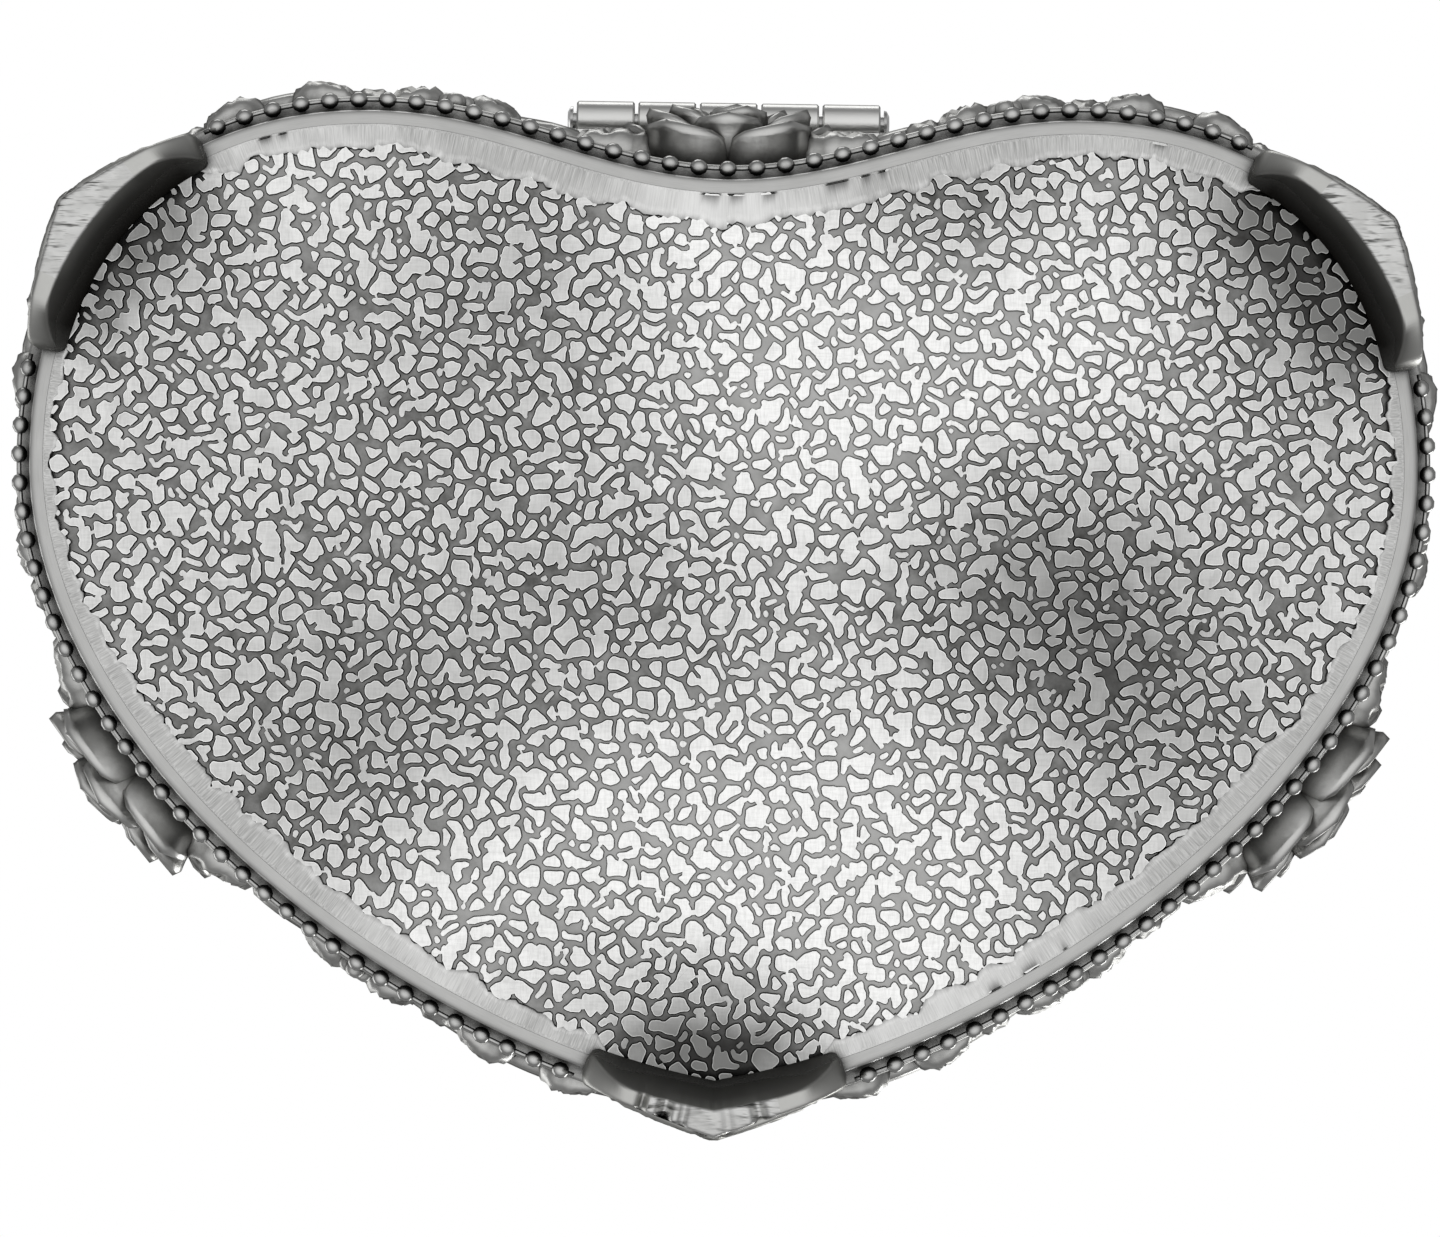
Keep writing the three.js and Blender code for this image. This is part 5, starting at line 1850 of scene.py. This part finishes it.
# %% Hinge sizes
hinge_half = 10.2 * mm
knuckle = 1.3 * mm
knuckle_gap = 0.25 * mm
knuckle_count = 5
leaf_thick = 1 * mm
leaf_edge = 0.15 * mm
arm_edge = 0.06 * mm
pin_radius = 0.6 * mm
hinge_y = back_y + lid_overhang
hinge_z = (wall_top + lid_z) / 2


# %% Spin an outline round the pin's line
def lathe_x(outline, sides=36):
    """Spins a closed outline of x and radius."""
    bm = bmesh.new()
    corners = [bm.verts.new((x, hinge_y + r, hinge_z)) for x, r in outline]
    edges = [bm.edges.new((corners[i - 1], corners[i])) for i in range(len(corners))]
    line = {"axis": (1, 0, 0), "cent": (0, hinge_y, hinge_z)}
    bmesh.ops.spin(bm, geom=corners + edges, angle=turn, steps=sides, use_merge=True, **line)
    bmesh.ops.remove_doubles(bm, verts=bm.verts, dist=1e-7)
    return face_out(bm)


def eased(x0, x1, r0, r1, ease):
    """A knuckle's outline: the bore, two ends, and eased edges."""
    return [(x0, r0), (x1, r0), (x1, r1 - ease), (x1 - ease, r1), (x0 + ease, r1), (x0, r1 - ease)]


def smooth_by_angle(piece, limit=0.6):
    """Shades flat where faces meet at more than the limit, in radians, and smooth elsewhere."""
    bm = bmesh.new()
    bm.from_mesh(piece.data)
    for face in bm.faces:
        face.smooth = True
    for edge in bm.edges:
        edge.smooth = edge.is_manifold and edge.calc_face_angle(0) < limit
    bm.to_mesh(piece.data)
    bm.free()


# %% Parts of a hinge leaf
leaf_back = hinge_y - knuckle - 0.35 * mm


def distance_at(x):
    """How far along the heart line a place near the notch lies, found from its x."""
    s = abs(x)
    for _ in range(6):
        s += (abs(x) - place(s, 0, 0).x) * 1.02
    return math.copysign(s, x)


def leaf_plate(front, low):
    """A flat plate whose front edge follows the heart."""
    top, ease = low + leaf_thick, leaf_edge

    def at(u, v):
        x = -hinge_half + u * 2 * hinge_half
        near = place(distance_at(x), front, 0).y
        ring = [
            (near, low),
            (leaf_back - ease, low),
            (leaf_back, low + ease),
            (leaf_back, low + leaf_thick - ease),
            (leaf_back - ease, top),
            (near, top),
        ]
        return Vector((x, *ring[round(v * 6) % 6]))

    skin = grid(40, 6, at)
    bmesh.ops.holes_fill(skin, edges=skin.edges)
    return face_out(skin)


def knuckle_arm(x0, x1, low):
    arm = bmesh.new()
    bmesh.ops.create_cube(arm, size=1)
    size = Vector((x1 - x0 - 0.1 * mm, hinge_y - leaf_back - 0.3 * mm, leaf_thick))
    spot = Vector(((x0 + x1) / 2, (hinge_y + leaf_back) / 2 - 0.5 * mm, low + leaf_thick / 2))
    seat = Matrix.Translation(spot) @ Matrix.Diagonal((*size, 1))
    bmesh.ops.transform(arm, matrix=seat, verts=arm.verts)
    edges = {"segments": 2, "profile": 0.5, "affect": "EDGES", "material": -1}
    bmesh.ops.bevel(arm, geom=arm.edges, offset=arm_edge, **edges)
    return arm


# %% Make the hinge
def hinge_leaf(name, front, low, first):
    """A plate with every other knuckle, counted from the first."""
    pieces = [leaf_plate(front, low)]
    length = 2 * hinge_half / knuckle_count
    for i in range(first, knuckle_count, 2):
        x0 = -hinge_half + i * length + knuckle_gap / 2
        x1 = x0 + length - knuckle_gap
        pieces.append(lathe_x(eased(x0, x1, pin_radius + 0.08 * mm, knuckle, 0.12 * mm)))
        pieces.append(knuckle_arm(x0, x1, low))
    piece = made(name + "_cast", joined(pieces), hinge_pewter, smooth=False)
    smooth_by_angle(piece)
    return piece


for node, body, front, low, first in (
    ("hinge_leaf_box", "box", 0.25 * mm + seam, hinge_z - knuckle, 0),
    ("hinge_leaf_lid", "lid", lid_overhang + seam, hinge_z + knuckle - leaf_thick, 1),
):
    belongs(hinge_leaf(node, front, low, first), body, "antique_pewter", node)


# %% Make the pin
pin_head = 0.35 * mm
pin_head_radius = 0.95 * mm


def hinge_pin():
    half, head, wide = hinge_half + knuckle_gap / 2, pin_head, pin_head_radius
    end = [(half, pin_radius), (half, wide), (half + 0.5 * head, 0.95 * wide), (half + head, 0.6 * wide)]
    end.append((half + head, 0))
    outline = [(-x, r) for x, r in reversed(end)] + end
    piece = made("hinge_pin_wire", lathe_x(outline, 28), pin_steel)
    smooth_by_angle(piece)
    return piece


belongs(hinge_pin(), "box", "pin_steel", "hinge_pin")

# %% [markdown]
# ## The velvet
# The floor pad is wadding under velvet, crowned in the middle and drawn down at its edge. The wall's lining
# is velvet over card, with its top edge folded over. The lid's lining is a thin pad under the dome. All three
# are glued to something stiff and have no folds, so each is a section carried round the heart, and needs no
# cloth simulation.

# %% Make the floor pad
pad_offset = -wall_inside - 0.65 * mm - 2 * seam
pad_low, pad_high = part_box("floor_pad")
pad_columns = 160


def floor_pad():
    """Flat below, round at its edge, and crowned above, with faint hollows where the wadding is thinner."""
    bottom = pad_low.z
    edge, crown = 1.6 * mm, 1.2 * mm
    tucked = [(pad_offset - 0.3 * mm, pull, bottom) for pull in (0.999, 0.6, 0.25)]
    turned_in = [
        (pad_offset - 0.3 * mm, 0, bottom),
        (pad_offset - 0.05 * mm, 0, bottom + 0.3 * edge),
        (pad_offset, 0, bottom + 0.55 * edge),
        (pad_offset - 0.12 * mm, 0, bottom + 0.8 * edge),
        (pad_offset - 0.4 * mm, 0, bottom + edge),
    ]
    pulls = (0.02, 0.05, 0.1, 0.18, 0.28, 0.4, 0.54, 0.7, 0.85, 0.999)
    top = [(pad_offset - 0.5 * mm, pull, bottom + edge + crown * (1 - (1 - pull) ** 2.6)) for pull in pulls]
    bm = pulled_skin(tucked + turned_in + top, pad_columns)
    for corner in bm.verts:
        if corner.co.z > bottom + edge:
            x, y = corner.co.x, corner.co.y
            corner.co.z += 0.12 * mm * math.sin(x / (6 * mm)) * math.cos(y / (7 * mm)) - 0.1 * mm
    return made("floor_pad_velvet", bm, velvet)


pad = floor_pad()
belongs(pad, "box", "velvet", "floor_pad")


# %% Make the wall's lining
def wall_lining():
    outer = -wall_inside - seam
    top, bottom = lip_top - 0.4 * mm, plate_high.z + seam
    thick = 0.65 * mm
    section = [(outer, bottom), (outer, top), (outer - thick, top), (outer - thick, bottom)]
    skin = face_out(carried(rounded(section, 0.28 * mm, 4), 240))
    return made("wall_lining_velvet", skin, velvet)


lining = wall_lining()
belongs(lining, "box", "velvet", "wall_lining")


# %% Make the lid's lining
def lid_lining():
    """A thin pad that follows the dome from below, with a rolled edge."""
    edge = inner_offset - seam - 0.3 * mm
    under = lid_ceiling + 0.5 * mm
    rise = inner_height + inner_z - under - 1.5 * mm - 0.4 * mm
    pulls = (0.999, 0.85, 0.7, 0.55, 0.42, 0.3, 0.2, 0.12, 0.06, 0.02)
    lower = [(edge - 0.4 * mm, pull, under + rise * dome_rise(pull)) for pull in pulls]
    rolled = [(edge - 0.25 * mm, 0, under), (edge, 0, under + 0.2 * mm), (edge, 0, under + 0.5 * mm)]
    glued = [pull for pull in reversed(pulls) if pull > 0.05]
    upper = [(edge, pull, inner_z + inner_height * dome_rise(pull) - 0.4 * mm) for pull in glued]
    return made("lid_lining_velvet", pulled_skin(lower + rolled + upper, pad_columns), velvet)


lid_pad = lid_lining()
belongs(lid_pad, "lid", "velvet", "lid_lining")

# %% [markdown]
# ## The camera and the light
# The photograph looks straight up at the base plate, with the point of the heart down in the picture and the
# box turned by less than a degree. The camera is far enough away that the feet hide hardly any of the plate,
# as there. Its lens follows from the photograph's scale, in pixels to a millimetre at the plate.

# %% The camera
photo_scale = 16
photo_width = 1440
camera_distance = 340 * mm
camera_roll = 0.015
camera_aim = Vector((0.07 * mm, -0.57 * mm, floor_z + 0.5 * mm))


def camera():
    data = bpy.data.cameras.new("camera")
    data.sensor_width = 36
    data.lens = photo_scale * camera_distance / mm / photo_width * data.sensor_width
    data.clip_start, data.clip_end = 0.01, 10
    eye = bpy.data.objects.new("camera", data)
    bpy.context.scene.collection.objects.link(eye)
    right = Vector((-math.cos(camera_roll), math.sin(camera_roll), 0))
    up = Vector((math.sin(camera_roll), math.cos(camera_roll), 0))
    ahead = Vector((0, 0, 1))
    turned = Matrix((right, up, -ahead)).transposed().to_4x4()
    eye.matrix_world = Matrix.Translation(camera_aim - ahead * camera_distance) @ turned
    bpy.context.scene.camera = eye
    print("lens, mm:", round(data.lens, 1))


camera()

# %% [markdown]
# Metal shows what it mirrors, so the room matters more than the lamps. The world is white to the camera. To a
# mirror it is brightest straight below and darker towards the horizon, so that flat faces which look down
# shine and sloping ones shade off. The room above is dimmer than the white card below. Three soft lamps give
# the lid its highlights.

# %% The lamps
def lamp(name, where, size, power, target=(0, 0, 0.02)):
    data = bpy.data.lights.new(name, "AREA")
    data.size = size
    data.energy = power
    light = bpy.data.objects.new(name, data)
    light.location = where
    light.rotation_euler = (Vector(target) - Vector(where)).to_track_quat("-Z", "Y").to_euler()
    bpy.context.scene.collection.objects.link(light)


lamp("key_above", (-0.35, -0.4, 0.55), 0.4, 3)
lamp("fill_above", (0.5, -0.2, 0.4), 0.5, 1.2)
lamp("rim_above", (0.1, 0.6, 0.45), 0.4, 1)


# %% The room
room_above = 0.6
soft_light = 0.55


def backdrop(tree, colour, strength):
    return add(tree, "Background", {"Color": colour, "Strength": strength}).outputs[0]


def studio():
    world = bpy.data.worlds.new("studio")
    bpy.context.scene.world = world
    world.use_nodes = True
    tree = world.node_tree
    tree.nodes.clear()
    path = add(tree, "LightPath").outputs
    seen = reckoned(tree, "MAXIMUM", path["Is Camera Ray"], path["Is Transmission Ray"])
    height = add(tree, "SeparateXYZ", {"Vector": add(tree, "TexCoord").outputs["Generated"]}).outputs["Z"]
    level = reckoned(tree, "MAXIMUM", times(tree, height, -1), times(tree, height, room_above))
    shade = ramp(tree, level, 0.15, 0.95, (0.24, 0.24, 0.24), (1, 1, 1))
    lit = {0: path["Is Glossy Ray"], 1: backdrop(tree, (1, 1, 1, 1), soft_light), 2: backdrop(tree, shade, 1)}
    whole = {0: seen, 1: add(tree, "MixShader", lit).outputs[0], 2: backdrop(tree, (1, 1, 1, 1), 1)}
    add(tree, "OutputWorld", {"Surface": add(tree, "MixShader", whole).outputs[0]})


studio()

# %% [markdown]
# The floor is a plain pale sheet under the feet. From below it is clear, so that it doesn't hide the box from
# the photograph's side.

# %% The floor
def floor():
    bm = bmesh.new()
    bmesh.ops.create_grid(bm, x_segments=1, y_segments=1, size=1.5)
    finish, tree, surface = new_finish("floor")
    surface.inputs["Base Color"].default_value = (0.86, 0.86, 0.86, 1)
    surface.inputs["Roughness"].default_value = 0.7
    below = add(tree, "NewGeometry").outputs["Backfacing"]
    clear = add(tree, "BsdfTransparent").outputs[0]
    both = add(tree, "MixShader", {0: below, 1: surface.outputs[0], 2: clear}).outputs[0]
    tree.links.new(both, tree.nodes["Material Output"].inputs["Surface"])
    ground = made("floor", bm, finish, smooth=False)
    ground.visible_shadow = ground.visible_glossy = ground.visible_diffuse = False
    ground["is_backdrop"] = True


floor()

# %% [markdown]
# ## Measure the sizes and finish
# The looks may not stand out past the solids, so the box round each is measured and kept.

# %% Measure and finish
bpy.context.scene.view_settings.view_transform = "Standard"
low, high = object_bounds()
print("looks box, mm:", [round(x / mm, 1) for x in (*low, *high)])
{"solids": [list(cad_low), list(cad_high)], "looks": [list(low), list(high)]}
